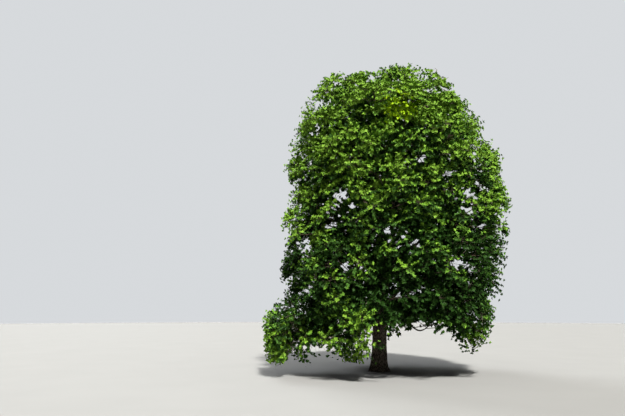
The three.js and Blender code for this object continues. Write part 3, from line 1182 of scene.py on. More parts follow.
@dataclass
class Boughs:
    """The boughs, from the leader out to the low ones, and the stem that each carries into its mass."""

    carry_turn: float = 80.0
    seat_gap: float = 0.0003
    collar_share: float = 0.35
    collar_length: float = 0.06
    taper_power: float = 0.85
    inset_out: float = 0.5
    inset_down: float = 0.2
    leader_down: float = 0.55
    hub_share: float = 0.15
    stem_bend: float = 0.4
    stem_tip: float = 0.011
    stout: float = 0.07
    sides_stout: int = 30
    sides_slender: int = 20
    sides_stem: int = 10
    ring_step: float = 0.045
    shape: LimbShape = field(default_factory=LimbShape)
    limbs: list[Limb] = field(default_factory=list)
    stems: list[Line] = field(default_factory=list)

    def grow(self, masses: list[Mass], trunk: Trunk) -> None:
        """Draws the line of every bough and of its stem.

        Args:
            masses: The masses that they reach into.
            trunk: The trunk that they spring from.
        """
        root = Limb(None, trunk.line)
        for mass in masses:
            sizes = BOUGHS[mass.tier]
            leader = mass.tier is Tier.TOP
            parent = root if sizes.parent is None else self.nearest(sizes.parent, mass.bearing)
            along = blend(sizes.low, sizes.high, (len(self.limbs) * GOLDEN_SHARE) % 1)
            start = parent.line.at(along)
            leave = parent.line.tangent(1) if leader else heading(mass.bearing, sizes.leave)
            if leader:
                start += leave * self.seat_gap
            out = 0 if leader else self.inset_out * mass.wide
            down = (self.leader_down if leader else self.inset_down) * mass.tall
            end = mass.middle - heading(mass.bearing, 0) * out - UP * down
            draws = Stream(mass.seed + SEEDS.crook)
            line = self.shape.line(start, leave, end, heading(mass.bearing, sizes.arrive), draws)
            parent.carries += 1
            self.limbs.append(Limb(mass, line))
            self.stems.append(self.stem(line, mass))

    def nearest(self, tier: Tier, bearing: float) -> Limb:
        """Finds the limb that a bough springs from.

        Args:
            tier: The limb's tier.
            bearing: The bearing of the bough.

        Returns:
            The limb of nearest bearing, less those that already carry more boughs.
        """

        def cost(limb: Limb) -> float:
            """Returns how far round a limb stands, with what it carries."""
            turn = abs((limb.mass.bearing - bearing + HALF_TURN) % FULL_TURN - HALF_TURN)
            return turn + self.carry_turn * limb.carries

        return min((limb for limb in self.limbs if limb.mass.tier is tier), key=cost)

    def stem(self, line: Line, mass: Mass) -> Line:
        """Draws the stem that carries a bough on into its mass.

        Args:
            line: The bough's line.
            mass: The mass.

        Returns:
            The stem's line.
        """
        tip = line.at(1)
        arrive = line.tangent(1)
        foot = tip + arrive * self.seat_gap
        hub = mass.middle.lerp(tip, self.hub_share)
        bend = foot + arrive * (self.stem_bend * (hub - foot).length)
        return Line(lambda t: foot * (1 - t) ** 2 + bend * (2 * t * (1 - t)) + hub * t**2)

    def radius_of(self, tier: Tier) -> Callable[[float, float], float]:
        """Finds how thick a tier's boughs are.

        Args:
            tier: The tier.

        Returns:
            What gives the radius, by the share along a bough and the angle round it.
        """
        sizes = BOUGHS[tier]
        collar = 0 if tier is Tier.TOP else self.collar_share

        def radius(share: float, _: float) -> float:
            """Returns the radius at a share of a bough's length."""
            swell = 1 + collar * math.exp(-share / self.collar_length)
            return blend(sizes.root, sizes.tip, share**self.taper_power) * swell

        return radius

    def stem_radius(self, foot: float) -> Callable[[float, float], float]:
        """Returns what gives the radius of a stem that starts as thick as its bough's tip."""
        return lambda share, _: blend(foot, self.stem_tip, share)

    def build(self, relief: BarkRelief, finish: BarkFinish) -> list[bpy.types.Object]:
        """Makes the boughs, one piece for each tier.

        Args:
            relief: The relief of their bark.
            finish: The finish of their bark.

        Returns:
            The pieces.
        """
        pieces = []
        for tier in Tier:
            sizes = BOUGHS[tier]
            sides = self.sides_stout if sizes.root > self.stout else self.sides_slender
            tube = BarkTube(relief)
            nodes = []
            for limb, stem in zip(self.limbs, self.stems):
                if limb.mass.tier is not tier:
                    continue
                tube.add(limb.line, sides, self.ring_step, self.radius_of(tier))
                tube.add(stem, self.sides_stem, self.ring_step, self.stem_radius(sizes.tip))
                nodes.append(f"bough_{limb.mass.name}")
            pieces.append(tie(tube.piece(f"boughs_{tier.value}", finish), Slot.BARK, nodes))
        return pieces


@dataclass
class Wood:
    """Curved wood of one order: for each piece, the points of a bent line and the radii of its ends."""

    root: Points
    bend: Points
    end: Points

    def at(self, share: Points) -> Points:
        """Returns the points at shares that match the lines, or one share for all."""
        t = np.asarray(share)[..., None]
        return self.root * (1 - t) ** 2 + self.bend * (2 * t * (1 - t)) + self.end * t**2

    def tangent(self, share: Points) -> Points:
        """Returns the directions at shares that match the lines, or one share for all."""
        t = np.asarray(share)[..., None]
        return unit((self.bend - self.root) * (1 - t) + (self.end - self.bend) * t)

    def pick(self, index: Points) -> "Wood":
        """Returns the lines of some numbers, or of a mask."""
        return Wood(self.root[index], self.bend[index], self.end[index])

    def spread(self) -> "Wood":
        """Returns the lines with an axis added, so that each is read at several shares."""
        return Wood(self.root[:, None], self.bend[:, None], self.end[:, None])


@dataclass
class Shape:
    """A small mesh that is repeated: its corners and its triangles."""

    corners: Points
    triangles: Points

    @classmethod
    def of(cls, bm: bmesh.types.BMesh) -> "Shape":
        """Takes the corners and triangles out of a small mesh, which is freed.

        Args:
            bm: The mesh.

        Returns:
            The shape.
        """
        bmesh.ops.triangulate(bm, faces=bm.faces[:])
        bm.verts.index_update()
        corners = np.array([v.co for v in bm.verts])
        triangles = np.array([[v.index for v in f.verts] for f in bm.faces])
        bm.free()
        return cls(corners, triangles)


def join_copies(name: str, shape: Shape, places: Points, tints: Points | None = None) -> bpy.types.Mesh:
    """Joins many copies of one shape into a mesh.

    Args:
        name: The mesh's name.
        shape: The shape.
        places: The corners of each copy.
        tints: The material number of each copy, if they differ.

    Returns:
        The mesh.
    """
    copies, corners = places.shape[:2]
    faces, sides = shape.triangles.shape
    loops = (shape.triangles[None] + np.arange(copies)[:, None, None] * corners).reshape(-1)
    mesh = bpy.data.meshes.new(name)
    mesh.vertices.add(copies * corners)
    mesh.vertices.foreach_set("co", places.astype(np.float32).ravel())
    mesh.loops.add(len(loops))
    mesh.loops.foreach_set("vertex_index", loops.astype(np.int32))
    mesh.polygons.add(copies * faces)
    mesh.polygons.foreach_set("loop_start", np.arange(0, len(loops), sides, dtype=np.int32))
    if tints is not None:
        mesh.polygons.foreach_set("material_index", np.repeat(tints, faces).astype(np.int32))
    mesh.update(calc_edges=True)
    mesh.validate()
    return mesh


@dataclass(frozen=True)
class WoodSizes:
    """One order of wood: its radius at the root, the share left at the tip, its sides and its spans."""

    root_radius: float
    tip_share: float
    sides: int
    spans: int
    upright_from: float = 0.9

    def shape(self) -> Shape:
        """Makes one upright unit of it.

        Returns:
            A closed cone, cut or whole, from 0 to 1 along Z and one unit in radius at its foot.
        """
        bm = bmesh.new()
        add_tube(bm, self.sides, self.spans, self.tip_share)
        bmesh.ops.translate(bm, verts=bm.verts[:], vec=UP * HALF)
        return Shape.of(bm)

    def places(self, shape: Shape, wood: Wood) -> Points:
        """Bends a copy of the unit along each line.

        Args:
            shape: The unit.
            wood: The lines.

        Returns:
            The corners of each copy.
        """
        share = np.broadcast_to(shape.corners[:, 2], (len(wood.root), len(shape.corners)))
        lines = wood.spread()
        tangent = lines.tangent(share)
        upright = np.abs(tangent[..., 2:]) > self.upright_from
        helper = np.where(upright, (1.0, 0.0, 0.0), (0.0, 0.0, 1.0))
        across = unit(np.cross(tangent, helper))
        square = np.cross(tangent, across)
        level = across * shape.corners[:, 0:1] + square * shape.corners[:, 1:2]
        return lines.at(share) + level * self.root_radius


@dataclass(frozen=True)
class Leaf:
    """One lobed leaf: half its outline from stalk to tip, folded up along the middle rib."""

    length: float = 0.072
    least: float = 0.75
    most: float = 1.18
    outline: tuple[tuple[float, float, float], ...] = (
        (0.0, 0.0, 0.0),
        (0.41, 0.50, 0.10),
        (0.56, 0.24, 0.05),
        (1.0, 0.0, -0.10),
    )

    def shape(self) -> Shape:
        """Makes the leaf: four triangles, one unit long.

        Returns:
            The shape, with the stalk at the origin and the tip on +X.
        """
        bm = bmesh.new()
        half = [bm.verts.new(point) for point in self.outline]
        bmesh.ops.contextual_create(bm, geom=half)
        bmesh.ops.mirror(bm, geom=[*bm.verts, *bm.edges, *bm.faces], axis="Y", merge_dist=TINY)
        bmesh.ops.remove_doubles(bm, verts=bm.verts[:], dist=WELD)
        bmesh.ops.recalc_face_normals(bm, faces=bm.faces[:])
        if sum(face.normal.z for face in bm.faces) < 0:
            bmesh.ops.reverse_faces(bm, faces=bm.faces[:])
        return Shape.of(bm)


@dataclass(frozen=True)
class Brow:
    """How far the foliage keeps inside the dome: to both sides of its peak, and to the front and back."""

    beside: float = 0.5
    peak_x: float = 0.9
    apart: float = 1.2
    spans: float = 2.0
    behind: float = 0.2
    away: float = 2.0
    low: float = 7.4
    high: float = 8.7

    def at(self, points: Points) -> Points:
        """Measures it at points, from none below the dome to all of it near the top.

        Args:
            points: The places, on the last axis.

        Returns:
            How far the foliage keeps inside the outline there.
        """
        off = np.clip((points[..., 0] - self.peak_x) / self.apart, -self.spans, self.spans)
        wave = (1 - np.cos(math.pi * off)) / 2
        share = ramp(points[..., 2], self.low, self.high)
        return share * (self.beside * wave + self.behind * (points[..., 1] / self.away) ** 2)


@dataclass(frozen=True)
class Reach:
    """How far the foliage may reach: the crown's outline, less at its brow, and the box of the solids."""

    crown: Crown
    low: Points
    high: Points
    brow: Brow = Brow()

    def box_depth(self, points: Points) -> Points:
        """Measures how deep points lie in the box. It is below 0 outside."""
        return np.minimum(points - self.low, self.high - points).min(axis=-1)

    def depth(self, points: Points, free: Points) -> Points:
        """Measures how deep points lie in the outline, or in the box alone where they are free."""
        return np.where(free, self.box_depth(points), self.crown.depth(points) - self.brow.at(points))


@dataclass
class Order:
    """The twigs: their lines, the mass of each one, and whether that mass's lump holds it."""

    wood: Wood
    owner: Points
    held: Points

    def join(self, other: "Order") -> "Order":
        """Adds more twigs.

        Args:
            other: The twigs that are added.

        Returns:
            These twigs, with the others after them.
        """
        root = np.concatenate((self.wood.root, other.wood.root))
        bend = np.concatenate((self.wood.bend, other.wood.bend))
        end = np.concatenate((self.wood.end, other.wood.end))
        owner = np.append(self.owner, other.owner)
        return Order(Wood(root, bend, end), owner, np.append(self.held, other.held))


@dataclass(frozen=True)
class Twigs:
    """The twigs of each mass, laid from its stem by the same rule as those of the solids."""

    count: int = 6
    reach_share: float = 0.66
    shrink: float = 0.06
    tries: int = 6
    outward: float = 0.45
    stray: float = 0.4
    roots: tuple[float, float] = (0.95, 0.45)
    cell_gap: float = 0.008
    probes: tuple[float, ...] = (0.5, 0.75, 1.0)
    sag: float = 0.07
    wood: WoodSizes = WoodSizes(root_radius=0.013, tip_share=0.45, sides=5, spans=6)

    def in_space(self, points: Points, mass: Mass, masses: list[Mass], crown: Crown) -> bool:
        """Tells whether points lie in a mass's own space.

        Args:
            points: The points.
            mass: The mass.
            masses: All masses.
            crown: The crown.

        Returns:
            Whether all of them lie in its lump, in the crown, and nearer to it than to any other.
        """
        middle = np.array(mass.middle)
        off = (points - middle) / (mass.wide, mass.wide, mass.tall)
        if (np.linalg.norm(off, axis=-1) > 1).any():
            return False
        if not mass.sweeps and (crown.depth(points) < 0).any():
            return False
        own = np.linalg.norm(points - middle, axis=-1)
        for other in masses:
            if other is mass:
                continue
            theirs = np.linalg.norm(points - np.array(other.middle), axis=-1)
            span = (other.middle - mass.middle).length
            if ((theirs**2 - own**2) / (2 * span) < self.cell_gap).any():
                return False
        return True

    def lay(self, mass: Mass, stem: Line, number: int, masses: list[Mass], crown: Crown) -> list[Vector]:
        """Lays one twig, nearer at each try until it fits the mass's space.

        Args:
            mass: The mass.
            stem: The line of its stem.
            number: The twig's number.
            masses: All masses.
            crown: The crown.

        Returns:
            Where the twig starts and where it ends.
        """
        rise = 1 - 2 * (number + HALF) / self.count
        level = math.sqrt(1 - rise * rise)
        root = stem.point(blend(*self.roots, (number + HALF) / self.count))
        out = Vector(crown.out_of(np.array(mass.middle)))
        for tries in range(self.tries):
            draws = Stream(SEEDS.twig(mass.seed, number) + tries)
            turn = (number + mass.seed) * GOLDEN_ANGLE + self.stray * draws.sway()
            way = Vector((level * math.cos(turn), level * math.sin(turn), rise))
            way = (way + out * self.outward).normalized()
            span = Vector((way.x * mass.wide, way.y * mass.wide, way.z * mass.tall))
            end = (mass.middle + span * self.reach_share).lerp(root, self.shrink * tries)
            along = np.array([root.lerp(end, share) for share in self.probes])
            if self.in_space(along, mass, masses, crown):
                break
        return [root, end]

    def grow(self, masses: list[Mass], stems: list[Line], crown: Crown) -> Order:
        """Grows the twigs of every mass.

        Args:
            masses: The masses.
            stems: Their stems.
            crown: The crown.

        Returns:
            The twigs.
        """
        ends = np.array(
            [
                self.lay(mass, stem, number, masses, crown)
                for mass, stem in zip(masses, stems)
                for number in range(self.count)
            ]
        )
        root = ends[:, 0]
        end = ends[:, 1]
        span = np.linalg.norm(end - root, axis=-1, keepdims=True)
        bend = (root + end) / 2 - UP_ARRAY * span * self.sag
        owner = np.repeat(np.arange(len(masses)), self.count)
        return Order(Wood(root, bend, end), owner, np.ones(len(owner), bool))


@dataclass(frozen=True)
class SideTwigs:
    """The twigs that clothe the boughs: to the left and right in turn, and all round the leader."""

    turn: float = 55.0
    slope: float = 8.0
    length: float = 0.7
    least: float = 0.7
    lowest: float = 0.75

    def grow(self, limbs: list[Limb], stems: list[Line], rng: np.random.Generator) -> Order:
        """Grows the side twigs, and those of the stem that sweeps out.

        Args:
            limbs: The boughs, in the order of their masses.
            stems: Their stems.
            rng: Where the draws come from.

        Returns:
            The twigs.
        """
        roots = []
        ways = []
        owner = []
        for number, (limb, stem) in enumerate(zip(limbs, stems)):
            leader = limb.mass.tier is Tier.TOP
            starts = [limb.line.at(share) for share in SIDE_TWIGS[limb.mass.tier]]
            if limb.mass.sweeps:
                starts += [stem.at(share) for share in SWEEP_TWIGS]
            for i, start in enumerate(starts):
                hand = 1 if i % 2 else -1
                bearing = math.degrees(i * GOLDEN_ANGLE) if leader else limb.mass.bearing + hand * self.turn
                roots.append(start)
                ways.append(heading(bearing, self.slope))
                owner.append(number)
        root = np.array(roots)
        length = self.length * rng.uniform(self.least, 1, (len(root), 1))
        end = root + np.array(ways) * length
        end[:, 2] = np.maximum(end[:, 2], self.lowest)
        return Order(Wood(root, (root + end) / 2, end), np.array(owner), np.zeros(len(owner), bool))


@dataclass(frozen=True)
class Droop:
    """How far the lowest branchlets hang at the front left, where the skirt comes down over the trunk."""

    most: float = 0.34
    high: float = 1.45
    low: float = 0.85
    least: float = 0.5
    right: float = 0.3
    ease: float = 0.5

    def at(self, points: Points) -> Points:
        """Measures how far each end hangs, from none at the right and above to all of it.

        Args:
            points: The ends before they hang, on the last axis.

        Returns:
            How far down each one moves, but never below the least height.
        """
        below = ramp(points[..., 2], self.high, self.low)
        left = ramp(self.right - points[..., 0], 0, self.ease)
        front = ramp(-points[..., 1], 0, self.ease)
        return np.minimum(self.most * below * left * front, np.maximum(points[..., 2] - self.least, 0))


@dataclass(frozen=True)
class Branchlets:
    """The branchlets of each twig. Their ends fill the space round the twig's own end, well apart."""

    count: int = 4
    wide: float = 0.84
    tall: float = 0.5
    outward: float = 0.6
    stray: float = 0.15
    sizes: tuple[float, float] = (0.55, 1.12)
    roots: tuple[float, float] = (1.0, 0.3)
    edge: tuple[float, float] = (0.14, 0.68)
    fray: float = 0.14
    hang: float = 0.22
    hang_below: float = 1.2
    lump: tuple[float, float] = (0.9, 1.3)
    tries: int = 9
    pull: float = 0.09
    rounds: int = 40
    apart: float = 1.05
    flat: float = 0.66
    step: float = 0.07
    longest: float = 1.25
    rise: float = 0.25
    ease: float = 0.4
    droop: Droop = Droop()
    wood: WoodSizes = WoodSizes(root_radius=0.0075, tip_share=0.4, sides=4, spans=3)

    def grow(
        self, twigs: Order, masses: list[Mass], reach: Reach, sky: Sky, rng: np.random.Generator
    ) -> tuple[Wood, Points]:
        """Grows the branchlets, shorter at each try until their ends lie in their mass and the crown.

        Args:
            twigs: The twigs.
            masses: The masses.
            reach: How far the foliage may reach.
            sky: Where the sky shows through.
            rng: Where the draws come from.

        Returns:
            The branchlets, and the number of each one's twig.
        """
        number = np.tile(np.arange(self.count), len(twigs.owner))
        twig = np.repeat(np.arange(len(twigs.owner)), self.count)
        spread = len(number)
        lines = twigs.wood.pick(twig)
        rise = 1 - 2 * (number + HALF) / self.count
        turn = number * GOLDEN_ANGLE + rng.uniform(0, math.tau, len(twigs.owner))[twig]
        level = np.sqrt(1 - rise * rise)
        ways = np.stack([level * np.cos(turn), level * np.sin(turn), rise], axis=-1)
        ways += reach.crown.out_of(lines.end) * self.outward + rng.normal(0, self.stray, ways.shape)
        size = rng.uniform(*self.sizes, (spread, 1))
        aim = lines.end + unit(ways) * (self.wide, self.wide, self.tall) * size
        share = blend(*self.roots, (number + rng.uniform(0, 1, spread)) / self.count)
        root = lines.at(share)
        own = [masses[i] for i in twigs.owner[twig]]
        free = np.array([mass.sweeps for mass in own])
        middle = np.array([mass.middle for mass in own])
        half = np.array([(mass.wide, mass.wide, mass.tall) for mass in own])
        edge = rng.uniform(*self.edge, len(twigs.owner))[twig] + rng.uniform(0, self.fray, spread)
        lump = np.where(twigs.held[twig], rng.uniform(*self.lump, spread), np.inf)

        def fits(ends: Points) -> Points:
            """Tells which branchlets fit.

            Args:
                ends: Where they end.

            Returns:
                Whether each end lies in its mass and in the crown.
            """
            raised = ends + UP_ARRAY * (self.hang * (ends[:, 2:] < self.hang_below))
            inside = reach.depth(raised, free) >= edge
            return inside & (np.linalg.norm((ends - middle) / half, axis=-1) <= lump)

        end = aim
        for tries in range(self.tries):
            nearer = aim + (root - aim) * self.pull * (tries + 1)
            end = np.where(fits(end)[:, None], end, nearer)
        end = np.where(free[:, None], end, self.part(root, end, fits))
        keep = ~sky.bares(end)
        end = end - UP_ARRAY * self.droop.at(end)[:, None]
        length = np.linalg.norm(end - root, axis=-1, keepdims=True)
        bend = root + unit(lines.tangent(share) + UP_ARRAY * self.rise) * length * self.ease
        return Wood(root, bend, end).pick(keep), twig[keep]

    def part(self, root: Points, end: Points, fits: Callable[[Points], Points]) -> Points:
        """Moves the ends apart, each only as long as it fits and its branchlet isn't too long.

        Args:
            root: Where the branchlets start.
            end: Where they end.
            fits: Tells which of the ends fit.

        Returns:
            The new ends.
        """
        flat = np.array((1.0, 1.0, self.flat))
        for _ in range(self.rounds):
            off = (end[:, None] - end[None]) / flat
            gap = np.linalg.norm(off, axis=-1, keepdims=True)
            push = np.clip(1 - gap / self.apart, 0, 1) / np.maximum(gap, TINY)
            moved = end + (off * push).sum(axis=1) * flat * self.step
            good = fits(moved) & (np.linalg.norm(moved - root, axis=-1) <= self.longest)
            end = np.where(good[:, None], moved, end)
        return end


@dataclass
class Sprays:
    """The shoots: the way out of its mound at each one's tip, how high it lies there, and the mound."""

    wood: Wood
    out: Points
    high: Points
    mound: Points


@dataclass(frozen=True)
class Shoots:
    """The shoots of each branchlet. Their tips lie on a low mound that turns its top to the light."""

    count: int = 15
    wide: float = 0.44
    tall: float = 0.28
    lowest: float = -0.15
    stray: float = 0.1
    least: float = 0.82
    most: float = 1.1
    mounds: tuple[float, float] = (0.7, 1.15)
    roots: tuple[float, float] = (0.5, 1.0)
    sunk: float = 0.35
    past: float = 0.08
    tries: int = 6
    pull: float = 0.15
    face_flat: float = 0.6
    face_heights: tuple[float, ...] = (1.0, 1.6, 3.2, 4.8, 7.0)
    face_ups: tuple[float, ...] = (-0.2, 0.55, 0.75, 0.65, 0.2)
    face_tilt: float = 0.18
    deep_from: float = 1.0
    deep_to: float = 2.0
    deep_share: float = 0.35
    wood: WoodSizes = WoodSizes(root_radius=0.0034, tip_share=0.0, sides=3, spans=1)

    def faces(self, branchlets: Wood, crown: Crown, rng: np.random.Generator) -> Points:
        """Turns each mound to the light: out of the crown, and more upwards at its middle heights.

        Args:
            branchlets: The branchlets that the mounds grow on.
            crown: The crown.
            rng: Where the draws come from.

        Returns:
            The way that each mound faces.
        """
        out = crown.out_of(branchlets.end) * (1, 1, self.face_flat)
        up = np.interp(branchlets.end[:, 2], self.face_heights, self.face_ups)[:, None]
        return unit(out + UP_ARRAY * up + rng.normal(0, self.face_tilt, out.shape))

    def grow(self, branchlets: Wood, free: Points, reach: Reach, rng: np.random.Generator) -> Sprays:
        """Grows the shoots of every branchlet, shorter at each try until their tips are near the crown.

        Args:
            branchlets: The branchlets.
            free: Whether each one's mass sweeps out past the crown's outline.
            reach: How far the foliage may reach.
            rng: Where the draws come from.

        Returns:
            The shoots, fewer deep inside.
        """
        mounds = len(branchlets.root)
        number = np.tile(np.arange(self.count), mounds)
        mound = np.repeat(np.arange(mounds), self.count)
        spread = len(number)
        rise = 1 - (1 - self.lowest) * (number + HALF) / self.count
        turn = number * GOLDEN_ANGLE + rng.uniform(0, math.tau, mounds)[mound]
        level = np.sqrt(1 - rise * rise)
        face = self.faces(branchlets, reach.crown, rng)
        ahead = unit(np.cross(face, rng.normal(0, 1, face.shape)))
        across = np.cross(face, ahead)[mound] * (level * np.sin(turn))[:, None]
        sides = ahead[mound] * (level * np.cos(turn))[:, None] + across
        face = face[mound]
        size = rng.uniform(self.least, self.most, spread) * rng.uniform(*self.mounds, mounds)[mound]
        tips = sides * self.wide + face * ((rise - self.sunk) * self.tall)[:, None]
        lines = branchlets.pick(mound)
        aim = lines.end + tips * size[:, None]
        root = lines.at(rng.uniform(*self.roots, spread))
        end = aim
        for tries in range(self.tries):
            outside = np.minimum(reach.depth(end, free[mound]), reach.box_depth(end)) < -self.past
            end = np.where(outside[:, None], aim + (root - aim) * self.pull * (tries + 1), end)
        out = unit(sides + face * rise[:, None] + rng.normal(0, self.stray, end.shape))
        within = ramp(reach.crown.depth(lines.end), self.deep_from, self.deep_to)
        keep = rng.uniform(0, 1, spread) > within * (1 - self.deep_share)
        wood = Wood(root, (root + end) / 2, end)
        return Sprays(wood.pick(keep), out[keep], rise[keep], mound[keep])


@dataclass
class Leaves:
    """Leaves: where each is rooted, how it lies, its size, whether it is young and its shoot."""

    root: Points
    along: Points
    face: Points
    size: Points
    young: Points
    shoot: Points

    def pick(self, index: Points) -> "Leaves":
        """Returns the leaves of a mask."""
        chosen = (self.root, self.along, self.face, self.size, self.young, self.shoot)
        return Leaves(*(each[index] for each in chosen))

    def places(self, shape: Shape) -> Points:
        """Lays a copy of the leaf at each place.

        Args:
            shape: The leaf.

        Returns:
            The corners of each copy.
        """
        across = unit(np.cross(self.face, self.along))
        square = np.cross(self.along, across)
        sized = [way * self.size[:, None] for way in (self.along, across, square)]
        moved = sum(way[:, None] * shape.corners[None, :, i, None] for i, way in enumerate(sized))
        return self.root[:, None] + moved


@dataclass(frozen=True)
class Spurs:
    """The spurs along each shoot. Each bears a few leaves that fan out, and the last one young leaves."""

    count: int = 5
    leaves: int = 4
    first: float = 0.34
    open_angle: float = 1.0
    flatness: float = 0.6
    stray: float = 0.18
    tilt: float = 0.15
    face_up: float = 0.25
    missing: float = 0.03
    deep_from: float = 0.4
    deep_to: float = 0.95
    deep_gain: float = 0.9
    deep_missing: float = 0.4
    out_past: float = 0.14
    box_past: float = 0.09

    def grow(
        self, sprays: Sprays, free: Points, reach: Reach, sky: Sky, leaf: Leaf, rng: np.random.Generator
    ) -> Leaves:
        """Sets the leaves on every spur.

        Args:
            sprays: The shoots.
            free: Whether each shoot's mass sweeps out past the crown's outline.
            reach: How far the foliage may reach.
            sky: Where the sky shows through.
            leaf: The leaf.
            rng: Where the draws come from.

        Returns:
            The leaves that fit.
        """
        number = np.arange(self.count * self.leaves)
        spur = number // self.leaves
        spread = (len(sprays.out), len(number))
        step = (spur + rng.uniform(0, 1, spread)) / self.count
        last = spur == self.count - 1
        share = np.where(last, 1.0, self.first + (1 - self.first) * step)
        lines = sprays.wood.spread()
        root = lines.at(share)
        tangent = lines.tangent(share)
        face = unit(sprays.out[:, None] + UP_ARRAY * self.face_up + rng.normal(0, self.tilt, (*spread, 3)))
        across = unit(np.cross(face, tangent))
        square = np.cross(tangent, across)
        turn = number * GOLDEN_ANGLE + rng.uniform(0, math.tau, (spread[0], 1))
        opening = (np.sin(turn) * self.flatness)[..., None] * square + np.cos(turn)[..., None] * across
        along = tangent * math.cos(self.open_angle) + opening * math.sin(self.open_angle)
        along = unit(along + rng.normal(0, self.stray, along.shape))
        within = ramp(reach.crown.depth(root), self.deep_from, self.deep_to)
        size = leaf.length * rng.uniform(leaf.least, leaf.most, spread) * (1 + self.deep_gain * within)
        tip = root + along * size[..., None]
        keep = reach.depth(tip, free[:, None]) > -self.out_past
        keep &= (reach.box_depth(tip) > -self.box_past) & (tip[..., 2] > reach.crown.foot)
        keep &= ~sky.shows((root + tip) / 2, rng.uniform(-1, 1, spread))
        keep &= rng.uniform(0, 1, spread) > self.missing + self.deep_missing * within
        young = np.broadcast_to(last, spread)
        shoot = np.broadcast_to(np.arange(spread[0])[:, None], spread)
        return Leaves(root[keep], along[keep], face[keep], size[keep], young[keep], shoot[keep])


@dataclass(frozen=True)
class Tinting:
    """Deals the tints by twig, mound and shoot: painted light high up and on each mound's top, painted
    shade deep inside and at each mound's foot, and the sunny one to one patch.
    """

    # Painted light and shade: the mean tint is lighter high up, it falls deeper inside the crown for
    # painted shade, and each mound is lighter at its top for painted light.
    heights: tuple[float, ...] = (1.2, 1.9, 3.4, 5.4, 8.0)
    painted_light_by_height: tuple[float, ...] = (2.0, -0.6, 1.2, 4.1, 5.9)
    deep: float = 1.2
    painted_shade_fall: float = 2.9
    of_twig: float = 1.0
    of_mound: float = 0.5
    of_leaf: float = 0.3
    painted_light_of_high: float = 5.6
    high_middle: float = 0.45
    of_young: float = 0.5
    sunny_x: float = 0.93
    sunny_z: float = 8.09
    sunny_wide: float = 0.54
    sunny_share: float = 0.88

    def of_mounds(self, branchlets: Wood, twig: Points, crown: Crown, rng: np.random.Generator) -> Points:
        """Finds how light each mound is, as a number on the row of the tints: painted light high up and
        painted shade deep in the crown, with random tone by twig and mound.

        Args:
            branchlets: The branchlets that the mounds grow on.
            twig: The number of each one's twig.
            crown: The crown.
            rng: Where the draws come from.

        Returns:
            The number of each mound.
        """
        # Painted light by height, then painted shade deeper inside the crown.
        mean = np.interp(branchlets.end[:, 2], self.heights, self.painted_light_by_height)
        mean -= self.painted_shade_fall * ramp(crown.depth(branchlets.end), 0, self.deep)
        mean += rng.normal(0, self.of_twig, twig.max() + 1)[twig]
        return rng.normal(mean, self.of_mound)

    def of_leaves(self, leaves: Leaves, sprays: Sprays, mounds: Points, rng: np.random.Generator) -> Points:
        """Deals a tint to every leaf: painted light on top of its mound and painted shade under it, and
        lighter where it is young.

        Args:
            leaves: The leaves.
            sprays: The shoots.
            mounds: How light each mound is.
            rng: Where the draws come from.

        Returns:
            The number of each leaf's tint.
        """
        sunny = len(Tint) - 1
        high = sprays.high - self.high_middle
        # Painted light on the top of each mound and painted shade at its foot.
        tone = (mounds[sprays.mound] + self.painted_light_of_high * high)[leaves.shoot]
        tone += self.of_young * leaves.young + rng.normal(0, self.of_leaf, len(tone))
        patch = Sky(windows=(Window(self.sunny_x, self.sunny_z, self.sunny_wide, self.sunny_wide),))
        chosen = patch.shows(leaves.root, rng.uniform(-1, 1, len(tone))) & (leaves.root[:, 1] < 0)
        chosen &= rng.uniform(0, 1, len(tone)) < self.sunny_share
        return np.where(chosen, sunny, np.clip(np.rint(tone), 0, sunny - 1)).astype(int)


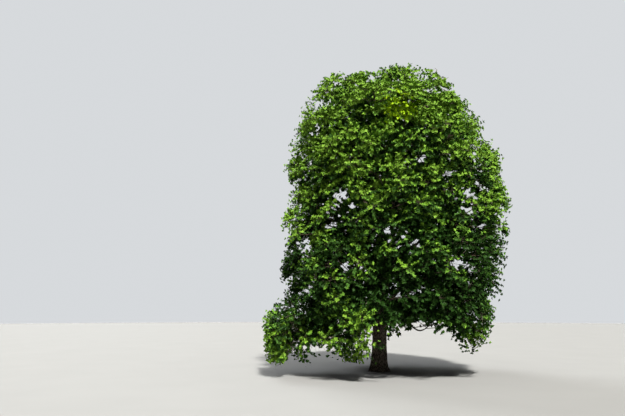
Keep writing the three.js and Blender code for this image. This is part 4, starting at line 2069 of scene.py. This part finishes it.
@dataclass
class Foliage:
    """The masses of foliage: twigs from each stem, branchlets, mounds of shoots, and their leaves."""

    reach: Reach
    sky: Sky = field(default_factory=Sky)
    twigs: Twigs = field(default_factory=Twigs)
    side_twigs: SideTwigs = field(default_factory=SideTwigs)
    branchlets: Branchlets = field(default_factory=Branchlets)
    shoots: Shoots = field(default_factory=Shoots)
    spurs: Spurs = field(default_factory=Spurs)
    leaf: Leaf = field(default_factory=Leaf)
    tinting: Tinting = field(default_factory=Tinting)

    def build(self, masses: list[Mass], limbs: list[Limb], stems: list[Line]) -> list[bpy.types.Object]:
        """Grows the foliage of every mass and makes its pieces.

        Args:
            masses: The masses.
            limbs: Their boughs.
            stems: Their stems.

        Returns:
            The pieces of wood, and one piece of leaves for each tier.
        """
        crown = self.reach.crown
        rng = np.random.default_rng(SEEDS.first + SEEDS.fine)
        sweeps = np.array([mass.sweeps for mass in masses])
        twigs = self.twigs.grow(masses, stems, crown).join(self.side_twigs.grow(limbs, stems, rng))
        branchlets, twig = self.branchlets.grow(twigs, masses, self.reach, self.sky, rng)
        owner = twigs.owner[twig]
        # How light each mound is: painted light high up and painted shade deep inside, with random tone.
        mounds = self.tinting.of_mounds(branchlets, twig, crown, rng)
        sprays = self.shoots.grow(branchlets, sweeps[owner], self.reach, rng)
        free = sweeps[owner[sprays.mound]]
        leaves = self.spurs.grow(sprays, free, self.reach, self.sky, self.leaf, rng)
        leafy = np.unique(sprays.mound[leaves.shoot])
        finish = TwigFinish("young_wood").material()
        pieces = [
            self.build_wood("twigs", self.twigs.wood, twigs.wood.pick(np.unique(twig[leafy])), finish),
            self.build_wood("branchlets", self.branchlets.wood, branchlets.pick(leafy), finish),
            self.build_wood("shoots", self.shoots.wood, sprays.wood.pick(np.unique(leaves.shoot)), finish),
        ]
        greens = [tint.value.material() for tint in Tint]
        # Deals the tints: painted light and shade by place, with the leaves' age and random tone.
        dealt = self.tinting.of_leaves(leaves, sprays, mounds, rng)
        carrier = owner[sprays.mound[leaves.shoot]]
        for tier in Tier:
            chosen = [i for i, mass in enumerate(masses) if mass.tier is tier]
            mine = np.isin(carrier, chosen)
            nodes = [f"foliage_{masses[i].name}" for i in chosen]
            name = f"leaves_{tier.value}"
            pieces.append(self.build_leaves(name, leaves.pick(mine), dealt[mine], greens, nodes))
        return pieces

    def build_wood(
        self, name: str, sizes: WoodSizes, wood: Wood, finish: bpy.types.Material
    ) -> bpy.types.Object:
        """Makes the piece of one order of wood.

        Args:
            name: The piece's name.
            sizes: The order's sizes.
            wood: Its lines.
            finish: Its finish.

        Returns:
            The piece.
        """
        shape = sizes.shape()
        mesh = join_copies(name, shape, sizes.places(shape, wood))
        mesh.materials.append(finish)
        return tie(new_object(name, mesh), Slot.BARK, [])

    def build_leaves(
        self, name: str, leaves: Leaves, tints: Points, greens: list[bpy.types.Material], nodes: list[str]
    ) -> bpy.types.Object:
        """Makes the leaves of a tier.

        Args:
            name: The piece's name.
            leaves: The leaves.
            tints: The number of each one's tint.
            greens: The tints' materials.
            nodes: The nodes that they stand for.

        Returns:
            The piece.
        """
        shape = self.leaf.shape()
        mesh = join_copies(name, shape, leaves.places(shape), tints)
        for green in greens:
            mesh.materials.append(green)
        return tie(new_object(name, mesh), Slot.LEAVES, nodes)


@dataclass(frozen=True)
class FloorFinish:
    """A plain pale floor, a little uneven in tone."""

    name: str = "pale_floor"
    colour: Colour = (0.145, 0.145, 0.142)
    pale: Colour = (0.164, 0.164, 0.160)
    layers: Layers = Layers(scale=0.6, detail=3.0, rough=0.5)
    roughness: float = 0.9

    def material(self) -> bpy.types.Material:
        """Makes the finish.

        Returns:
            The material.
        """
        shader = Shader(self.name)
        place = shader.add("ShaderNodeTexCoord").outputs["Object"]
        tone = shader.noise(place, self.layers)
        colour = shader.mix(tone, self.colour, self.pale)
        return shader.surface({"Base Color": colour, "Roughness": self.roughness})


@dataclass(frozen=True)
class BackdropFinish:
    """A plain pale glow, which the backdrop is seen by."""

    colour: Colour
    strength: float
    name: str = "pale_backdrop"

    def material(self) -> bpy.types.Material:
        """Makes the finish.

        Returns:
            The material.
        """
        inputs = {
            "Base Color": (0, 0, 0, 1),
            "Specular IOR Level": 0,
            "Emission Color": (*self.colour, 1),
            "Emission Strength": self.strength,
        }
        return Shader(self.name).surface(inputs)


@dataclass(frozen=True)
class Lamp:
    """A soft lamp, far away: where it shines from, its strength and how soft it is, in degrees."""

    name: str
    bearing: float
    slope: float
    strength: float
    softness: float
    colour: Colour

    def build(self) -> None:
        """Hangs the lamp."""
        light = bpy.data.lights.new(self.name, "SUN")
        light.energy = self.strength
        light.angle = math.radians(self.softness)
        light.color = self.colour
        lamp = new_object(self.name, light)
        lamp.rotation_mode = "QUATERNION"
        lamp.rotation_quaternion = heading(self.bearing, self.slope).to_track_quat("Z", "Y")


@dataclass(frozen=True)
class Studio:
    """The floor, the light and the camera."""

    floor_reach: float = 90.0
    floor_sides: int = 96
    backdrop_sides: int = 64
    backdrop_rings: int = 32
    view_reach: float = 4.0
    level: float = 90.0
    pitch: float = 11.97
    lens: float = 28.8
    sensor: float = 36.0
    backdrop: Colour = (0.94, 0.97, 1.0)
    backdrop_strength: float = 0.72
    air: Colour = (1.0, 1.0, 0.97)
    air_strength: float = 0.15
    lamps: tuple[Lamp, ...] = (
        Lamp("key", bearing=-74, slope=55, strength=11.4, softness=5, colour=(1.0, 0.98, 0.93)),
        Lamp("top", bearing=-80, slope=78, strength=1.5, softness=70, colour=(1.0, 1.0, 0.97)),
        Lamp("fill", bearing=118, slope=38, strength=2.8, softness=30, colour=(0.95, 0.98, 1.0)),
    )

    def build(self) -> list[bpy.types.Object]:
        """Makes the studio.

        Returns:
            The floor and the backdrop.
        """
        pieces = [self.build_floor(), self.build_backdrop()]
        self.build_air()
        self.build_camera()
        for lamp in self.lamps:
            lamp.build()
        return pieces

    def build_floor(self) -> bpy.types.Object:
        """Lays the floor.

        Returns:
            The floor.
        """
        bm = bmesh.new()
        bmesh.ops.create_circle(bm, cap_ends=True, segments=self.floor_sides, radius=self.floor_reach)
        floor = new_piece("floor", bm, FloorFinish().material())
        floor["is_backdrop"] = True
        return floor

    def build_air(self) -> None:
        """Sets the dim light that comes from all round."""
        world = bpy.data.worlds.new("air")
        bpy.context.scene.world = world
        world.use_nodes = True
        air = world.node_tree.nodes["Background"]
        air.inputs["Color"].default_value = (*self.air, 1)
        air.inputs["Strength"].default_value = self.air_strength

    def build_backdrop(self) -> bpy.types.Object:
        """Sets the pale backdrop, which is seen and lights nothing.

        Returns:
            The backdrop.
        """
        bm = bmesh.new()
        bmesh.ops.create_uvsphere(
            bm, u_segments=self.backdrop_sides, v_segments=self.backdrop_rings, radius=self.floor_reach
        )
        bmesh.ops.reverse_faces(bm, faces=bm.faces[:])
        finish = BackdropFinish(self.backdrop, self.backdrop_strength).material()
        backdrop = new_piece("backdrop", bm, finish)
        backdrop.visible_diffuse = False
        backdrop.visible_glossy = False
        backdrop.visible_shadow = False
        backdrop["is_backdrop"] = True
        return backdrop

    def build_camera(self) -> None:
        """Sets the camera where the front view is seen from."""
        data = bpy.data.cameras.new("camera")
        data.lens = self.lens
        data.sensor_width = self.sensor
        data.clip_end = self.view_reach * self.floor_reach
        camera = new_object("camera", data)
        camera.location = EYE
        camera.rotation_euler = (math.radians(self.level + self.pitch), 0, 0)
        bpy.context.scene.camera = camera
        bpy.context.scene.view_settings.view_transform = "Standard"


def main() -> None:
    """Builds the tree and the studio round the frame."""
    logging.basicConfig(level=logging.INFO, format="%(name)s: %(message)s")
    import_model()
    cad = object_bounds()
    crown = Crown()
    relief = BarkRelief()
    bark = BarkFinish("bark")
    masses = Planting().masses(crown)
    trunk = Trunk()
    pieces = [trunk.build(relief, bark)]
    boughs = Boughs()
    boughs.grow(masses, trunk)
    pieces += boughs.build(relief, bark)
    foliage = Foliage(Reach(crown, low=np.array(cad[0]), high=np.array(cad[1])))
    pieces += foliage.build(masses, boughs.limbs, boughs.stems)
    pieces += Studio().build()
    for piece in pieces:
        LOG.info("%s: %d faces", piece.name, len(piece.data.polygons))


if __name__ == "__main__":
    main()
